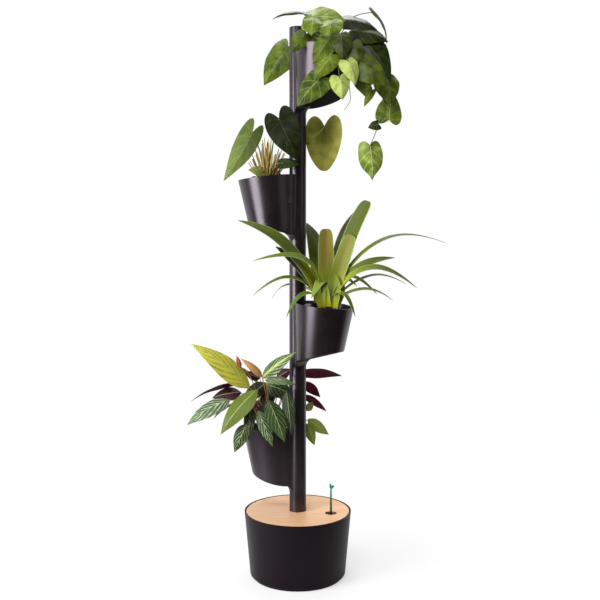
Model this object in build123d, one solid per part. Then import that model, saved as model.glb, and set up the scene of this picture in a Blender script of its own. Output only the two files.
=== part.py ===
from build123d import *
from math import cos, pi, radians, sin, sqrt, tan
import os

# A stacked planter: a round water tank with a wooden lid, a post of four pot modules and their plants.
# The origin is the centre of the tank's foot, +Z is up and -Y is the front.

# Fits
RUNNING_FIT = 0.05
LOOSE_GAP = 0.3
SEAT_GAP = 0.6

# Water tank
TANK_RIM_R = 165.0
TANK_LOW_R = 147.0
TANK_HEIGHT = 202.0
TANK_WALL = 4.0
FOOT_R = 138.0
FOOT_HEIGHT = 6.0
TANK_EDGE_ROUND = 6.0
LEDGE_WIDTH = 8.0
LEDGE_HEIGHT = 4.0

# Lid
LID_THICKNESS = 12.0
LID_SINK = 0.4
LID_EDGE = 0.8
FILL_HOLE_R = 18.0
FILL_HOLE_OUT = 106.6
FILL_HOLE_ANGLE = -17.0

# Post and pot modules
TUBE_R = 26.0
TUBE_WALL = 3.0
FIRST_SEAM = 116.0
MODULE_PITCH = 388.0
SPIGOT_LENGTH = 40.0
SPIGOT_WALL = 3.0
SHOULDER = 10.0
POT_HEADINGS = {4: 152.0, 3: -30.0, 2: 180.0, 1: -30.0}
CAP_HEIGHT = 22.0
CAP_PLUG = 20.0
CAP_ROUND = 2.0

# Pot
RIM_BELOW_SEAM = 39.0
RIM_TILT = 6.0
POT_NEAR = 6.0
POT_RIM_FAR = 183.0
POT_DRAFT = 13.0
POT_FLOOR_DROP = 191.0
POT_FLOOR_SLOPE = 15.0
POT_WALL = 3.0
POT_EDGE_ROUND = 6.0
FLARE_R = 32.0
WEB_R = 20.0
WEB_DIP = 0.1
SOIL_BELOW_RIM = 30.0

# Seal ring, drain strainer
SEAL_BELOW_SEAM = 22.0
SEAL_R = 1.0
DRAIN_R = 4.0
STRAINER_HEAD_R = 7.0
STRAINER_HEAD = 4.0
STRAINER_HOLE_R = 0.7
STRAINER_HOLE_OUT = 1.5

# Water riser
RISER_R = 5.0
RISER_WALL = 1.5
RISER_SOCKET_R = 7.5
RISER_SOCKET = 26.0
RISER_REACH = 42.0
RISER_STOP = 1.0
RISER_FLOOR = 5.0
BRANCH_R = 4.0
BRANCH_BELOW_RIM = 14.0
BRANCH_OUT = 37.0
DRIPPER_R = 5.5
DRIPPER_LENGTH = 18.0
DRIPPER_TIP_R = 2.5
DRIPPER_TIP = 9.0

# Level stick and fill well
WELL_R = 22.0
WELL_WALL = 2.0
FLOAT_HEIGHT = 40.0
FLOAT_TOP = 146.0
STICK_ABOVE_LID = 92.0
STICK_LOW_R = 4.5
STICK_TOP_R = 2.4
STICK_PEG_R = 2.5
SPROUT_LENGTH = 17.0
SPROUT_WIDTH = 7.0
SPROUT_THICKNESS = 3.0

# Pump
PUMP_OUT = 96.0
PUMP_LENGTH = 44.0
PUMP_WIDTH = 42.0
PUMP_HEIGHT = 46.0
PUMP_FOOT = 3.0
CHAMBER_R = 14.0
CHAMBER_DEPTH = 13.0
COVER_THICKNESS = 4.0
IMPELLER_R = 12.0
IMPELLER_HUB_R = 4.0
IMPELLER_WIDTH = 9.0
IMPELLER_PIN_R = 1.5
PUMP_LINK_R = 2.6
BLADES = 6
BLADE_THICKNESS = 1.4
HOSE_R = 6.5
BARB_R = 4.5
BARB_LENGTH = 12.0
WATER_LINE_Z = 44.0

# Post base
FLANGE_R = 46.0
FLANGE_THICKNESS = 5.0
SCREW_R = 2.0
SCREW_HEAD_R = 4.0
SCREW_HEAD = 2.5
SCREW_CIRCLE = 36.0
SCREWS = 4

# Power socket and cable
SOCKET_R = 6.0
SOCKET_FLANGE_R = 8.5
SOCKET_FLANGE = 2.0
SOCKET_LENGTH = 18.0
SOCKET_Z = 150.0
NUT_R = 9.5
NUT_HEIGHT = 4.0
CABLE_R = 2.0

# Leaves and stems
LEAF_THICKNESS = 1.2
LEAF_FOLD = 0.12
STEM_R = 1.6
STEM_SIDES = 5
STEM_INTO_LEAF = 4.0
CROWN_DEPTH = 6.0
CROWN_SIDES = 8
ROOT_R = 5.0
ROOT_TURN = 137.5
CUT_STEMS = 22
CUT_STEM_LENGTH = 118.0
CUT_STEM_LEAN = 24.0
CUT_STEM_R = 2.4

BASE = (Align.CENTER, Align.CENTER, Align.MIN)
FLOOR_TOP = FOOT_HEIGHT + TANK_WALL
LID_TOP = TANK_HEIGHT - LID_SINK
LEDGE_TOP = LID_TOP - LID_THICKNESS
TUBE_BORE = TUBE_R - TUBE_WALL
SPIGOT_R = TUBE_BORE - RUNNING_FIT
SPIGOT_BORE = SPIGOT_R - SPIGOT_WALL
RIM_Z = MODULE_PITCH - RIM_BELOW_SEAM
SOIL_Z = RIM_Z - SOIL_BELOW_RIM
RISER_BORE = RISER_R - RISER_WALL
BRANCH_Z = RIM_Z - BRANCH_BELOW_RIM
POST_TOP = FIRST_SEAM + len(POT_HEADINGS) * MODULE_PITCH
FILL_X = FILL_HOLE_OUT * cos(radians(FILL_HOLE_ANGLE))
FILL_Y = FILL_HOLE_OUT * sin(radians(FILL_HOLE_ANGLE))
FLOAT_R = WELL_R - WELL_WALL - SEAT_GAP


def tube(outer_r, inner_r, low, high):
    """An upright tube between two heights."""
    height = high - low
    return Pos(0, 0, low) * (Cylinder(outer_r, height, align=BASE) - Cylinder(inner_r, height, align=BASE))


def rod(radius, start, length, direction):
    """A round rod from a point along a direction."""
    plane = Plane(origin=start, z_dir=direction)
    return plane * Cylinder(radius, length, align=BASE)


def turned(points):
    """A solid of revolution about Z from points (radius, height)."""
    face = make_face(Polyline([(r, 0, z) for r, z in points], close=True))
    return revolve(face, Axis.Z)


def tank_radius(z):
    """The tank's outer radius at a height."""
    return TANK_LOW_R + (TANK_RIM_R - TANK_LOW_R) * (z - FOOT_HEIGHT) / (TANK_HEIGHT - FOOT_HEIGHT)


def socket_plane():
    """Where the power socket meets the outside of the tank, square to its leaning wall."""
    lean = (TANK_RIM_R - TANK_LOW_R) / (TANK_HEIGHT - FOOT_HEIGHT)
    return Plane(origin=(0, tank_radius(SOCKET_Z), SOCKET_Z), x_dir=(1, 0, 0), z_dir=(0, 1, -lean))


def tank():
    """The tub: leaning wall, stepped foot and a ledge for the lid."""
    inside_low = tank_radius(FLOOR_TOP) - TANK_WALL
    outer = turned([(0, FOOT_HEIGHT), (TANK_LOW_R, FOOT_HEIGHT), (TANK_RIM_R, TANK_HEIGHT), (0, TANK_HEIGHT)])
    low_edge = outer.edges().filter_by(GeomType.CIRCLE).sort_by(Axis.Z)[0]
    outer = fillet(low_edge, TANK_EDGE_ROUND)
    inner = turned([(0, FLOOR_TOP), (inside_low, FLOOR_TOP), (TANK_RIM_R - TANK_WALL, TANK_HEIGHT), (0, TANK_HEIGHT)])
    foot = Cylinder(FOOT_R, FOOT_HEIGHT + 1, align=BASE)
    ledge_r = tank_radius(LEDGE_TOP) - TANK_WALL / 2
    ledge_in = tank_radius(LEDGE_TOP) - TANK_WALL - LEDGE_WIDTH
    ledge = tube(ledge_r, ledge_in, LEDGE_TOP - LEDGE_HEIGHT, LEDGE_TOP)
    body = outer - inner + foot + ledge
    hole = socket_plane().offset(-2 * TANK_WALL) * Cylinder(SOCKET_R, 4 * TANK_WALL, align=BASE)
    body = body - hole
    for place in screw_places():
        pilot = Pos(place.X, place.Y, FLOOR_TOP - TANK_WALL) * Cylinder(SCREW_R, 2 * TANK_WALL, align=BASE)
        body = body - pilot
    return body


def lid_panel():
    """The wooden lid with the post hole and the fill hole."""
    radius = tank_radius(LEDGE_TOP) - TANK_WALL - SEAT_GAP
    panel = Pos(0, 0, LEDGE_TOP) * Cylinder(radius, LID_THICKNESS, align=BASE)
    panel = panel - Pos(0, 0, LEDGE_TOP) * Cylinder(TUBE_R + SEAT_GAP, LID_THICKNESS, align=BASE)
    panel = panel - Pos(FILL_X, FILL_Y, LEDGE_TOP) * Cylinder(FILL_HOLE_R, LID_THICKNESS, align=BASE)
    return chamfer(panel.edges().filter_by(GeomType.CIRCLE), LID_EDGE)


def fill_well():
    """The slotted tube under the fill hole: it takes the water and guides the float."""
    top = LEDGE_TOP - LOOSE_GAP
    well = tube(WELL_R, WELL_R - WELL_WALL, FLOOR_TOP, top)
    slot_height = (top - FLOOR_TOP) * 0.6
    for turn in range(3):
        slot = Box(WELL_R * 2, 6, slot_height, align=(Align.MIN, Align.CENTER, Align.MIN))
        well = well - Rot(0, 0, 60 + 120 * turn) * Pos(0, 0, FLOOR_TOP + 12) * slot
    return Pos(FILL_X, FILL_Y, 0) * well


def level_float():
    """The float at its full mark."""
    body = Pos(0, 0, FLOAT_TOP - FLOAT_HEIGHT) * Cylinder(FLOAT_R, FLOAT_HEIGHT, align=BASE)
    body = fillet(body.edges().filter_by(GeomType.CIRCLE), 3)
    body = body - Pos(0, 0, FLOAT_TOP - FLOAT_HEIGHT / 2) * Cylinder(STICK_PEG_R, FLOAT_HEIGHT / 2, align=BASE)
    return Pos(FILL_X, FILL_Y, 0) * body


def level_stick():
    """The level stick with a sprout of two leaves at its top."""
    top = LID_TOP + STICK_ABOVE_LID
    fork = top - SPROUT_LENGTH
    stick = turned([(0, FLOAT_TOP), (STICK_LOW_R, FLOAT_TOP), (STICK_TOP_R, fork), (0, fork)])
    stick = stick + Pos(0, 0, FLOAT_TOP - FLOAT_HEIGHT / 2) * Cylinder(STICK_PEG_R, FLOAT_HEIGHT / 2, align=BASE)
    half = SPROUT_WIDTH / 2
    for lean, length in ((8, SPROUT_LENGTH), (-42, SPROUT_LENGTH * 0.85)):
        outline = Spline((0, -2), (half, length * 0.5), (0, length)) + Spline((0, length), (-half, length * 0.5), (0, -2))
        leaf = extrude(Plane.XZ * make_face(outline), SPROUT_THICKNESS / 2, both=True)
        stick = stick + Pos(0, 0, fork) * Rot(0, -lean, 0) * leaf
    return Pos(FILL_X, FILL_Y, 0) * stick


def screw_places():
    """Where the post base is screwed to the tank's floor."""
    return [Vector(SCREW_CIRCLE, 0).rotate(Axis.Z, 45 + 360 / SCREWS * n) for n in range(SCREWS)]


def post_base():
    """The standpipe on the tank's floor that carries the post."""
    pipe = tube(TUBE_R, TUBE_BORE, FLOOR_TOP, FIRST_SEAM)
    flange = tube(FLANGE_R, TUBE_BORE, FLOOR_TOP, FLOOR_TOP + FLANGE_THICKNESS)
    body = pipe + flange
    for place in screw_places():
        body = body - Pos(place.X, place.Y, FLOOR_TOP) * Cylinder(SCREW_R, FLANGE_THICKNESS, align=BASE)
    for turn in range(3):
        window = rod(6, (0, 0, FLOOR_TOP + 16), TUBE_R + 2, (cos(turn * pi / 2 - pi / 2), sin(turn * pi / 2 - pi / 2), 0))
        body = body - window
    return body - rod(BARB_R + LOOSE_GAP, (0, 0, WATER_LINE_Z), TUBE_R + 2, (-1, 0, 0))


def base_screw(place):
    """One screw of the post base."""
    head = Pos(0, 0, FLOOR_TOP + FLANGE_THICKNESS) * Cylinder(SCREW_HEAD_R, SCREW_HEAD, align=BASE)
    shank = Pos(0, 0, FLOOR_TOP - TANK_WALL) * Cylinder(SCREW_R, TANK_WALL + FLANGE_THICKNESS, align=BASE)
    slot = Pos(0, 0, FLOOR_TOP + FLANGE_THICKNESS + SCREW_HEAD) * Box(SCREW_HEAD_R * 2, 1, 2)
    return Pos(place.X, place.Y, 0) * (head + shank - slot)


def riser_elbow():
    """The elbow that takes the water from the hose to the first riser."""
    socket_low = FIRST_SEAM - RISER_REACH - RISER_STOP - RISER_FLOOR
    arm_end = TUBE_R + BARB_LENGTH + FLANGE_THICKNESS
    body = rod(BARB_R, (0, 0, WATER_LINE_Z), arm_end, (-1, 0, 0))
    body = body + Pos(0, 0, WATER_LINE_Z - BARB_R) * Cylinder(RISER_R, socket_low + BARB_R - WATER_LINE_Z, align=BASE)
    body = body + Pos(0, 0, socket_low) * Cylinder(RISER_SOCKET_R, RISER_SOCKET, align=BASE)
    body = body - Pos(0, 0, socket_low + RISER_FLOOR) * Cylinder(RISER_R + RUNNING_FIT, RISER_SOCKET, align=BASE)
    body = body - Pos(0, 0, WATER_LINE_Z) * Cylinder(BARB_R - RISER_WALL, socket_low, align=BASE)
    return body - rod(BARB_R - RISER_WALL, (0, 0, WATER_LINE_Z), arm_end, (-1, 0, 0))


def pump_place():
    """The pump's own frame: X along the water line to the post, at the middle of its foot."""
    return Pos(-PUMP_OUT, 0, FLOOR_TOP)


def pump_axis_z():
    """The impeller's height above the tank's floor."""
    return PUMP_FOOT + CHAMBER_R + 5


def pump_body():
    """The pump housing with its impeller chamber, outlet barb and feet."""
    box = Box(PUMP_LENGTH, PUMP_WIDTH, PUMP_HEIGHT - PUMP_FOOT, align=BASE)
    box = Pos(0, 0, PUMP_FOOT) * fillet(box.edges().filter_by(Axis.Z), 5)
    for x_side in (-1, 1):
        for y_side in (-1, 1):
            foot = Cylinder(4, PUMP_FOOT, align=BASE)
            box = box + Pos(x_side * (PUMP_LENGTH / 2 - 7), y_side * (PUMP_WIDTH / 2 - 7), 0) * foot
    axis_z = pump_axis_z()
    face_y = -PUMP_WIDTH / 2
    box = box - rod(CHAMBER_R, (0, face_y, axis_z), CHAMBER_DEPTH, (0, 1, 0))
    line_z = WATER_LINE_Z - FLOOR_TOP
    box = box + rod(BARB_R, (PUMP_LENGTH / 2 - 2, 0, line_z), BARB_LENGTH + 2, (1, 0, 0))
    box = box - rod(BARB_R - RISER_WALL, (-4, 0, line_z), PUMP_LENGTH, (1, 0, 0))
    box = box - rod(PUMP_LINK_R, (0, face_y + CHAMBER_DEPTH / 2, axis_z), line_z - axis_z + 3, (0, 0, 1))
    box = box - rod(PUMP_LINK_R - 0.3, (0, face_y + CHAMBER_DEPTH / 2, line_z), PUMP_WIDTH / 2, (0, 1, 0))
    body = box + rod(IMPELLER_PIN_R, (0, face_y + 1, axis_z), CHAMBER_DEPTH, (0, 1, 0))
    return pump_place() * body


def pump_cover():
    """The cover over the impeller with an intake grille of slots."""
    axis_z = pump_axis_z()
    face_y = -PUMP_WIDTH / 2
    cover = rod(CHAMBER_R + 3, (0, face_y, axis_z), COVER_THICKNESS, (0, -1, 0))
    for step in range(-2, 3):
        slot = Pos(step * 4, face_y - COVER_THICKNESS / 2, axis_z) * Box(1.8, COVER_THICKNESS, 16 - abs(step) * 3)
        cover = cover - slot
    return pump_place() * cover


def impeller():
    """The pump's wheel on its pin."""
    axis_z = pump_axis_z()
    face_y = -PUMP_WIDTH / 2 + (CHAMBER_DEPTH - IMPELLER_WIDTH) / 2
    wheel = rod(IMPELLER_HUB_R, (0, face_y, axis_z), IMPELLER_WIDTH, (0, 1, 0))
    reach = IMPELLER_R - IMPELLER_HUB_R + 1
    for n in range(BLADES):
        blade = Box(reach, IMPELLER_WIDTH, BLADE_THICKNESS, align=(Align.MIN, Align.MIN, Align.CENTER))
        wheel = wheel + Pos(0, face_y, axis_z) * Rot(0, 360 / BLADES * n, 0) * Pos(IMPELLER_HUB_R - 1, 0, 0) * blade
    wheel = wheel - rod(IMPELLER_PIN_R + RUNNING_FIT, (0, face_y, axis_z), IMPELLER_WIDTH, (0, 1, 0))
    return pump_place() * wheel


def pump_hose():
    """The short hose from the pump's barb to the elbow's."""
    start = -PUMP_OUT + PUMP_LENGTH / 2 + LOOSE_GAP
    end = -TUBE_R - FLANGE_THICKNESS
    hose = rod(HOSE_R, (start, 0, WATER_LINE_Z), end - start, (1, 0, 0))
    return hose - rod(BARB_R, (start, 0, WATER_LINE_Z), end - start, (1, 0, 0))


def power_socket():
    """The power socket in the back of the tank: flange outside, barrel through the wall."""
    flange = Cylinder(SOCKET_FLANGE_R, SOCKET_FLANGE, align=BASE)
    flange = chamfer(flange.edges().filter_by(GeomType.CIRCLE).sort_by(Axis.Z)[-1], 0.6)
    barrel = Pos(0, 0, -SOCKET_LENGTH) * Cylinder(SOCKET_R - RUNNING_FIT, SOCKET_LENGTH, align=BASE)
    hole = Pos(0, 0, -SOCKET_LENGTH / 2) * Cylinder(3, SOCKET_LENGTH, align=BASE)
    return socket_plane() * (flange + barrel - hole)


def socket_nut():
    """The nut that holds the power socket from inside."""
    hexagon = extrude(RegularPolygon(NUT_R, 6), NUT_HEIGHT)
    nut = hexagon - Cylinder(SOCKET_R, NUT_HEIGHT, align=BASE)
    return socket_plane().offset(-TANK_WALL - LOOSE_GAP * 1.5 - NUT_HEIGHT) * nut


def pump_cable():
    """The pump's cable along the tank's wall and floor to the power socket."""
    plane = socket_plane()
    start = plane.origin - plane.z_dir * SOCKET_LENGTH
    turn = start - plane.z_dir * 14
    floor_z = FLOOR_TOP + CABLE_R
    wall = Vector(turn.X - 12, turn.Y - 4, floor_z)
    pump_z = FLOOR_TOP + PUMP_FOOT + 8
    back = Vector(-PUMP_OUT, PUMP_WIDTH / 2 + 30, pump_z)
    end = Vector(-PUMP_OUT, PUMP_WIDTH / 2, pump_z)
    path = FilletPolyline(start, turn, wall, back, end, radius=10)
    profile = Plane(origin=path @ 0, z_dir=path % 0) * Circle(CABLE_R)
    return sweep(profile, path)


def pot_far(z):
    """How far the pot's outer wall stands from the post's axis at a height of its module."""
    rim_z = RIM_Z - POT_RIM_FAR * tan(radians(RIM_TILT))
    return POT_RIM_FAR + (z - rim_z) * tan(radians(POT_DRAFT))


def pot_cone(inset):
    """The pot's leaning cone, upright beside the post, taken in by an inset."""
    sections = []
    for z in (RIM_Z - POT_FLOOR_DROP - FLARE_R * 2, RIM_Z + SHOULDER):
        near = POT_NEAR + inset
        far = pot_far(z) - inset
        sections.append(Pos((near + far) / 2, 0, z) * Circle((far - near) / 2).face())
    return loft(sections, ruled=True)


def pot_section(z):
    """The pot's outline at a height: its round wall, run into the post by a hollow curve on each side."""
    far = pot_far(z)
    middle = (POT_NEAR + far) / 2
    wall = (far - POT_NEAR) / 2
    reach = TUBE_R + WEB_R - WEB_DIP
    x = (reach ** 2 - (wall + WEB_R) ** 2 + middle ** 2) / (2 * middle)
    web = Vector(x, sqrt(reach ** 2 - x ** 2))
    to_pot = (Vector(middle, 0) - web).normalized()
    to_post = (Vector(0, 0) - web).normalized()
    on_pot = web + to_pot * WEB_R
    on_post = web + to_post * WEB_R
    between = web + (to_pot + to_post).normalized() * WEB_R
    lower = [Vector(point.X, -point.Y) for point in (on_pot, between, on_post)]
    outline = ThreePointArc(on_pot, Vector(far, 0), lower[0]) + ThreePointArc(*lower)
    outline = outline + Line(lower[2], on_post) + ThreePointArc(on_post, between, on_pot)
    return Pos(0, 0, z) * make_face(outline)


def pot_outside():
    """The pot's leaning cone with the hollow curves that run it into the post."""
    heights = (RIM_Z - POT_FLOOR_DROP - FLARE_R * 2, RIM_Z + SHOULDER)
    return loft([pot_section(z) for z in heights], ruled=True)


def rim_plane():
    """The pot's rim, tipped down away from the post."""
    return Plane(origin=(0, 0, RIM_Z), z_dir=(sin(radians(RIM_TILT)), 0, cos(radians(RIM_TILT))))


def floor_plane():
    """The underside of the pot's floor, falling toward the post."""
    slope = radians(POT_FLOOR_SLOPE)
    return Plane(origin=(0, 0, RIM_Z - POT_FLOOR_DROP), z_dir=(-sin(slope), 0, cos(slope)))


def pot_flare():
    """The hollow curve under the pot that runs out into the post."""
    top = RIM_Z - POT_FLOOR_DROP + (TUBE_R + FLARE_R) * tan(radians(POT_FLOOR_SLOPE))
    low = (TUBE_R, 0, top - FLARE_R)
    middle = (TUBE_R + FLARE_R * (1 - cos(pi / 4)), 0, top - FLARE_R * (1 - sin(pi / 4)))
    high = (TUBE_R + FLARE_R, 0, top)
    crown = top + POT_WALL
    outline = ThreePointArc(low, middle, high)
    outline = outline + Polyline(high, (TUBE_R + FLARE_R, 0, crown), (TUBE_R - 1, 0, crown), (TUBE_R - 1, 0, top - FLARE_R), low)
    return revolve(make_face(outline), Axis.Z) & pot_outside()


def strainer_z():
    """The drain's height in its module."""
    return RIM_Z - POT_FLOOR_DROP + TUBE_R * tan(radians(POT_FLOOR_SLOPE)) + POT_WALL + STRAINER_HEAD_R + 1


def pot_module():
    """One pot and its piece of post, moulded together; the pot points along +X."""
    pot = split(pot_outside(), bisect_by=rim_plane(), keep=Keep.BOTTOM)
    pot = split(pot, bisect_by=floor_plane(), keep=Keep.TOP)
    foot = pot.faces().sort_by(Axis.Z)[0].edges()
    pot = fillet(foot.filter_by(lambda edge: edge.geom_type != GeomType.LINE), POT_EDGE_ROUND)
    post = Cylinder(TUBE_R, MODULE_PITCH, align=BASE)
    spigot = Pos(0, 0, -SPIGOT_LENGTH) * Cylinder(SPIGOT_R, SPIGOT_LENGTH, align=BASE)
    body = pot + post + spigot + pot_flare()
    body = body - split(pot_cone(POT_WALL), bisect_by=floor_plane().offset(POT_WALL), keep=Keep.TOP)
    body = body + post
    body = body - Pos(0, 0, SHOULDER) * Cylinder(TUBE_BORE, MODULE_PITCH, align=BASE)
    body = body - Pos(0, 0, -SPIGOT_LENGTH) * Cylinder(SPIGOT_BORE, SPIGOT_LENGTH + SHOULDER, align=BASE)
    groove_z = -SEAL_BELOW_SEAM - SEAL_R * 2
    body = body - tube(SPIGOT_R + 1, SPIGOT_R - 2 * SEAL_R, groove_z, groove_z + 4 * SEAL_R)
    body = body - rod(DRAIN_R, (0, 0, strainer_z()), TUBE_R + 2, (1, 0, 0))
    return body - rod(BRANCH_R + LOOSE_GAP, (0, 0, BRANCH_Z), TUBE_R + 2, (1, 0, 0))


def seal_ring():
    """The rubber ring in the spigot's groove."""
    return Pos(0, 0, -SEAL_BELOW_SEAM) * Torus(SPIGOT_R - SEAL_R - RUNNING_FIT, SEAL_R - RUNNING_FIT)


def strainer():
    """The drain strainer at the foot of the pot: a hollow peg with a pierced head."""
    z = strainer_z()
    head_x = TUBE_R + LOOSE_GAP
    body = rod(DRAIN_R - RUNNING_FIT, (TUBE_BORE, 0, z), head_x - TUBE_BORE, (1, 0, 0))
    body = body + rod(STRAINER_HEAD_R, (head_x, 0, z), STRAINER_HEAD, (1, 0, 0))
    body = body - rod(DRAIN_R - 1.5, (0, 0, z), head_x + STRAINER_HEAD / 2, (1, 0, 0))
    for n in range(4):
        spot = Vector(0, STRAINER_HOLE_OUT, 0).rotate(Axis.X, 90 * n)
        body = body - rod(STRAINER_HOLE_R, (head_x, spot.Y, z + spot.Z), STRAINER_HEAD, (1, 0, 0))
    return body


def riser():
    """One length of riser pipe with a socket at the top and a branch to the pot."""
    socket_low = MODULE_PITCH - RISER_REACH - RISER_STOP - RISER_FLOOR
    top = socket_low + RISER_SOCKET
    body = Pos(0, 0, -RISER_REACH) * Cylinder(RISER_R, socket_low + RISER_REACH, align=BASE)
    body = body + Pos(0, 0, socket_low) * Cylinder(RISER_SOCKET_R, RISER_SOCKET, align=BASE)
    body = body + rod(BRANCH_R, (0, 0, BRANCH_Z), BRANCH_OUT, (1, 0, 0))
    body = body - Pos(0, 0, -RISER_REACH) * Cylinder(RISER_BORE, socket_low + RISER_REACH + RISER_FLOOR, align=BASE)
    body = body - rod(BRANCH_R - RISER_WALL, (0, 0, BRANCH_Z), BRANCH_OUT, (1, 0, 0))
    return body - Pos(0, 0, socket_low + RISER_FLOOR) * Cylinder(RISER_R + RUNNING_FIT, top, align=BASE)


def riser_plug():
    """The stopper in the top riser's socket."""
    socket_low = MODULE_PITCH - RISER_REACH - RISER_STOP - RISER_FLOOR
    plug = Pos(0, 0, socket_low + RISER_FLOOR) * Cylinder(RISER_R, RISER_SOCKET - RISER_FLOOR, align=BASE)
    return plug + Pos(0, 0, socket_low + RISER_SOCKET) * Cylinder(RISER_SOCKET_R, 3, align=BASE)


def dripper():
    """The dripper on the end of a branch, its tip over the soil."""
    start = TUBE_R + 4
    body = rod(DRIPPER_R, (start, 0, BRANCH_Z), DRIPPER_LENGTH, (1, 0, 0))
    body = body - rod(BRANCH_R, (start, 0, BRANCH_Z), BRANCH_OUT - start, (1, 0, 0))
    tip_x = start + DRIPPER_LENGTH - DRIPPER_R
    body = body + rod(DRIPPER_TIP_R, (tip_x, 0, BRANCH_Z), DRIPPER_TIP, (0, 0, -1))
    passage = rod(BRANCH_R - RISER_WALL, (start, 0, BRANCH_Z), tip_x - start, (1, 0, 0))
    return body - passage - rod(1, (tip_x - 1, 0, BRANCH_Z), DRIPPER_TIP, (0, 0, -1))


def soil():
    """The potting mix in one pot."""
    mix = split(pot_cone(POT_WALL + LOOSE_GAP), bisect_by=floor_plane().offset(POT_WALL + LOOSE_GAP), keep=Keep.TOP)
    mix = split(mix, bisect_by=Plane(origin=(0, 0, SOIL_Z)), keep=Keep.BOTTOM)
    mix = mix - Cylinder(TUBE_R + LOOSE_GAP, MODULE_PITCH, align=BASE)
    return mix - rod(STRAINER_HEAD_R + LOOSE_GAP, (0, 0, strainer_z()), TUBE_R + STRAINER_HEAD + 2 * LOOSE_GAP, (1, 0, 0))


def top_cap():
    """The cap that closes the post."""
    cap = Pos(0, 0, POST_TOP) * Cylinder(TUBE_R, CAP_HEIGHT, align=BASE)
    cap = fillet(cap.edges().filter_by(GeomType.CIRCLE).sort_by(Axis.Z)[-1], CAP_ROUND)
    return cap + tube(SPIGOT_R, SPIGOT_BORE, POST_TOP - CAP_PLUG, POST_TOP)


def module_seam(n):
    """The height of the lower seam of module n, counted from the top."""
    return FIRST_SEAM + (4 - n) * MODULE_PITCH


def crown_point(n):
    """The middle of the soil in pot n."""
    out = (POT_NEAR + POT_RIM_FAR) / 2
    heading = radians(POT_HEADINGS[n])
    return Vector(out * cos(heading), out * sin(heading), module_seam(n) + SOIL_Z)


# Leaf outlines from base to tip: (place along the midrib, place of the edge, half width), as parts of the leaf
HEART = ((0.0, -0.08, 0.06), (0.03, -0.2, 0.24), (0.12, -0.1, 0.45), (0.38, 0.25, 0.5), (0.68, 0.58, 0.31), (0.9, 0.87, 0.1), (1.0, 1.0, 0.01))
OVAL = ((0.0, 0.0, 0.05), (0.12, 0.12, 0.33), (0.35, 0.35, 0.5), (0.6, 0.6, 0.44), (0.82, 0.82, 0.24), (1.0, 1.0, 0.01))
STRAP = ((0.0, 0.0, 0.48), (0.2, 0.2, 0.44), (0.45, 0.45, 0.5), (0.65, 0.65, 0.47), (0.85, 0.85, 0.32), (1.0, 1.0, 0.04))

# Leaves as (base, tip, width, bow, facing) and stems by their points, in mm from the middle of the soil:
# x to the right, y away from the front, z up; the bow lifts the midrib toward the way the leaf faces
FRONT = (0, -1, 0.3)
UPWARD = (0, -0.5, 1)

TRAILING_LEAVES = (
    ((-60, 5, 112), (-155, 0, 92), 50, 10, (0, -0.1, 1)),
    ((45, -25, 92), (-62, 35, 112), 72, 22, (0, -0.6, 1)),
    ((-40, -55, 80), (-45, -85, 20), 50, 8, FRONT),
    ((15, -65, 65), (5, -100, -5), 60, 10, FRONT),
    ((-62, -56, 60), (-97, -76, -20), 44, 8, (-0.3, -1, 0.3)),
    ((10, -106, 0), (-40, -112, -70), 48, 8, FRONT),
    ((45, -96, 10), (30, -114, -80), 50, 8, FRONT),
    ((15, -116, -50), (-35, -112, -115), 42, 8, FRONT),
    ((-17, -104, -115), (-85, -86, -185), 54, 8, (-0.2, -1, 0.3)),
    ((65, -120, -70), (90, -126, -160), 54, 8, (0.2, -1, 0.3)),
    ((45, -128, -120), (45, -122, -185), 56, 8, FRONT),
    ((100, -90, -75), (175, -90, -125), 58, 10, (0.4, -1, 0.4)),
    ((140, -45, -20), (195, -45, -85), 60, 12, (0.6, -1, 0.4)),
    ((75, -95, -20), (92, -114, -70), 48, 8, (0.2, -1, 0.4)),
    ((50, -15, 85), (160, -5, 65), 54, 14, UPWARD),
    ((75, -20, 38), (180, -10, 56), 56, 14, (0.1, -0.8, 0.8)),
    ((150, 5, 120), (190, 15, 25), 46, 12, (1, 0.15, 0.4)),
    ((135, -75, -135), (110, -80, -185), 22, 4, FRONT),
    ((20, 60, 60), (30, 125, 10), 60, 14, (0, 0.8, 1)),
    ((75, 40, 70), (130, 95, 30), 58, 12, (0.4, 0.7, 1)),
    ((-30, 80, 84), (-55, 140, 34), 56, 12, (-0.3, 0.8, 1)),
    ((30, 102, -20), (40, 118, -100), 54, 8, (0, 1, 0.3)),
    ((110, 60, -40), (135, 80, -120), 56, 8, (0.6, 1, 0.3)),
)
BESIDE_POST_LEAF = ((-115, 105, 50), (-185, 95, -75), 66, 10, (-0.2, -1, 0.3))
BESIDE_POST_STEM = (-45, 75, 60)
VINE = ((6, 0, 12), (70, -18, 46), (140, -35, -5), (176, -25, -120), (165, -15, -218), (135, -10, -284))
VINE_LEAVES = (
    (3, ((180, -25, -90), (190, -30, -160), 70, 8, (0.5, -1, 0.3))),
    (4, ((195, -15, -215), (200, -30, -135), 64, -8, (0.3, -1, 0.2))),
    (4, ((160, -18, -222), (128, -18, -232), 32, 4, FRONT)),
    (5, ((135, -10, -282), (140, -10, -390), 64, 10, (0.2, -1, 0.2))),
)

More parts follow.
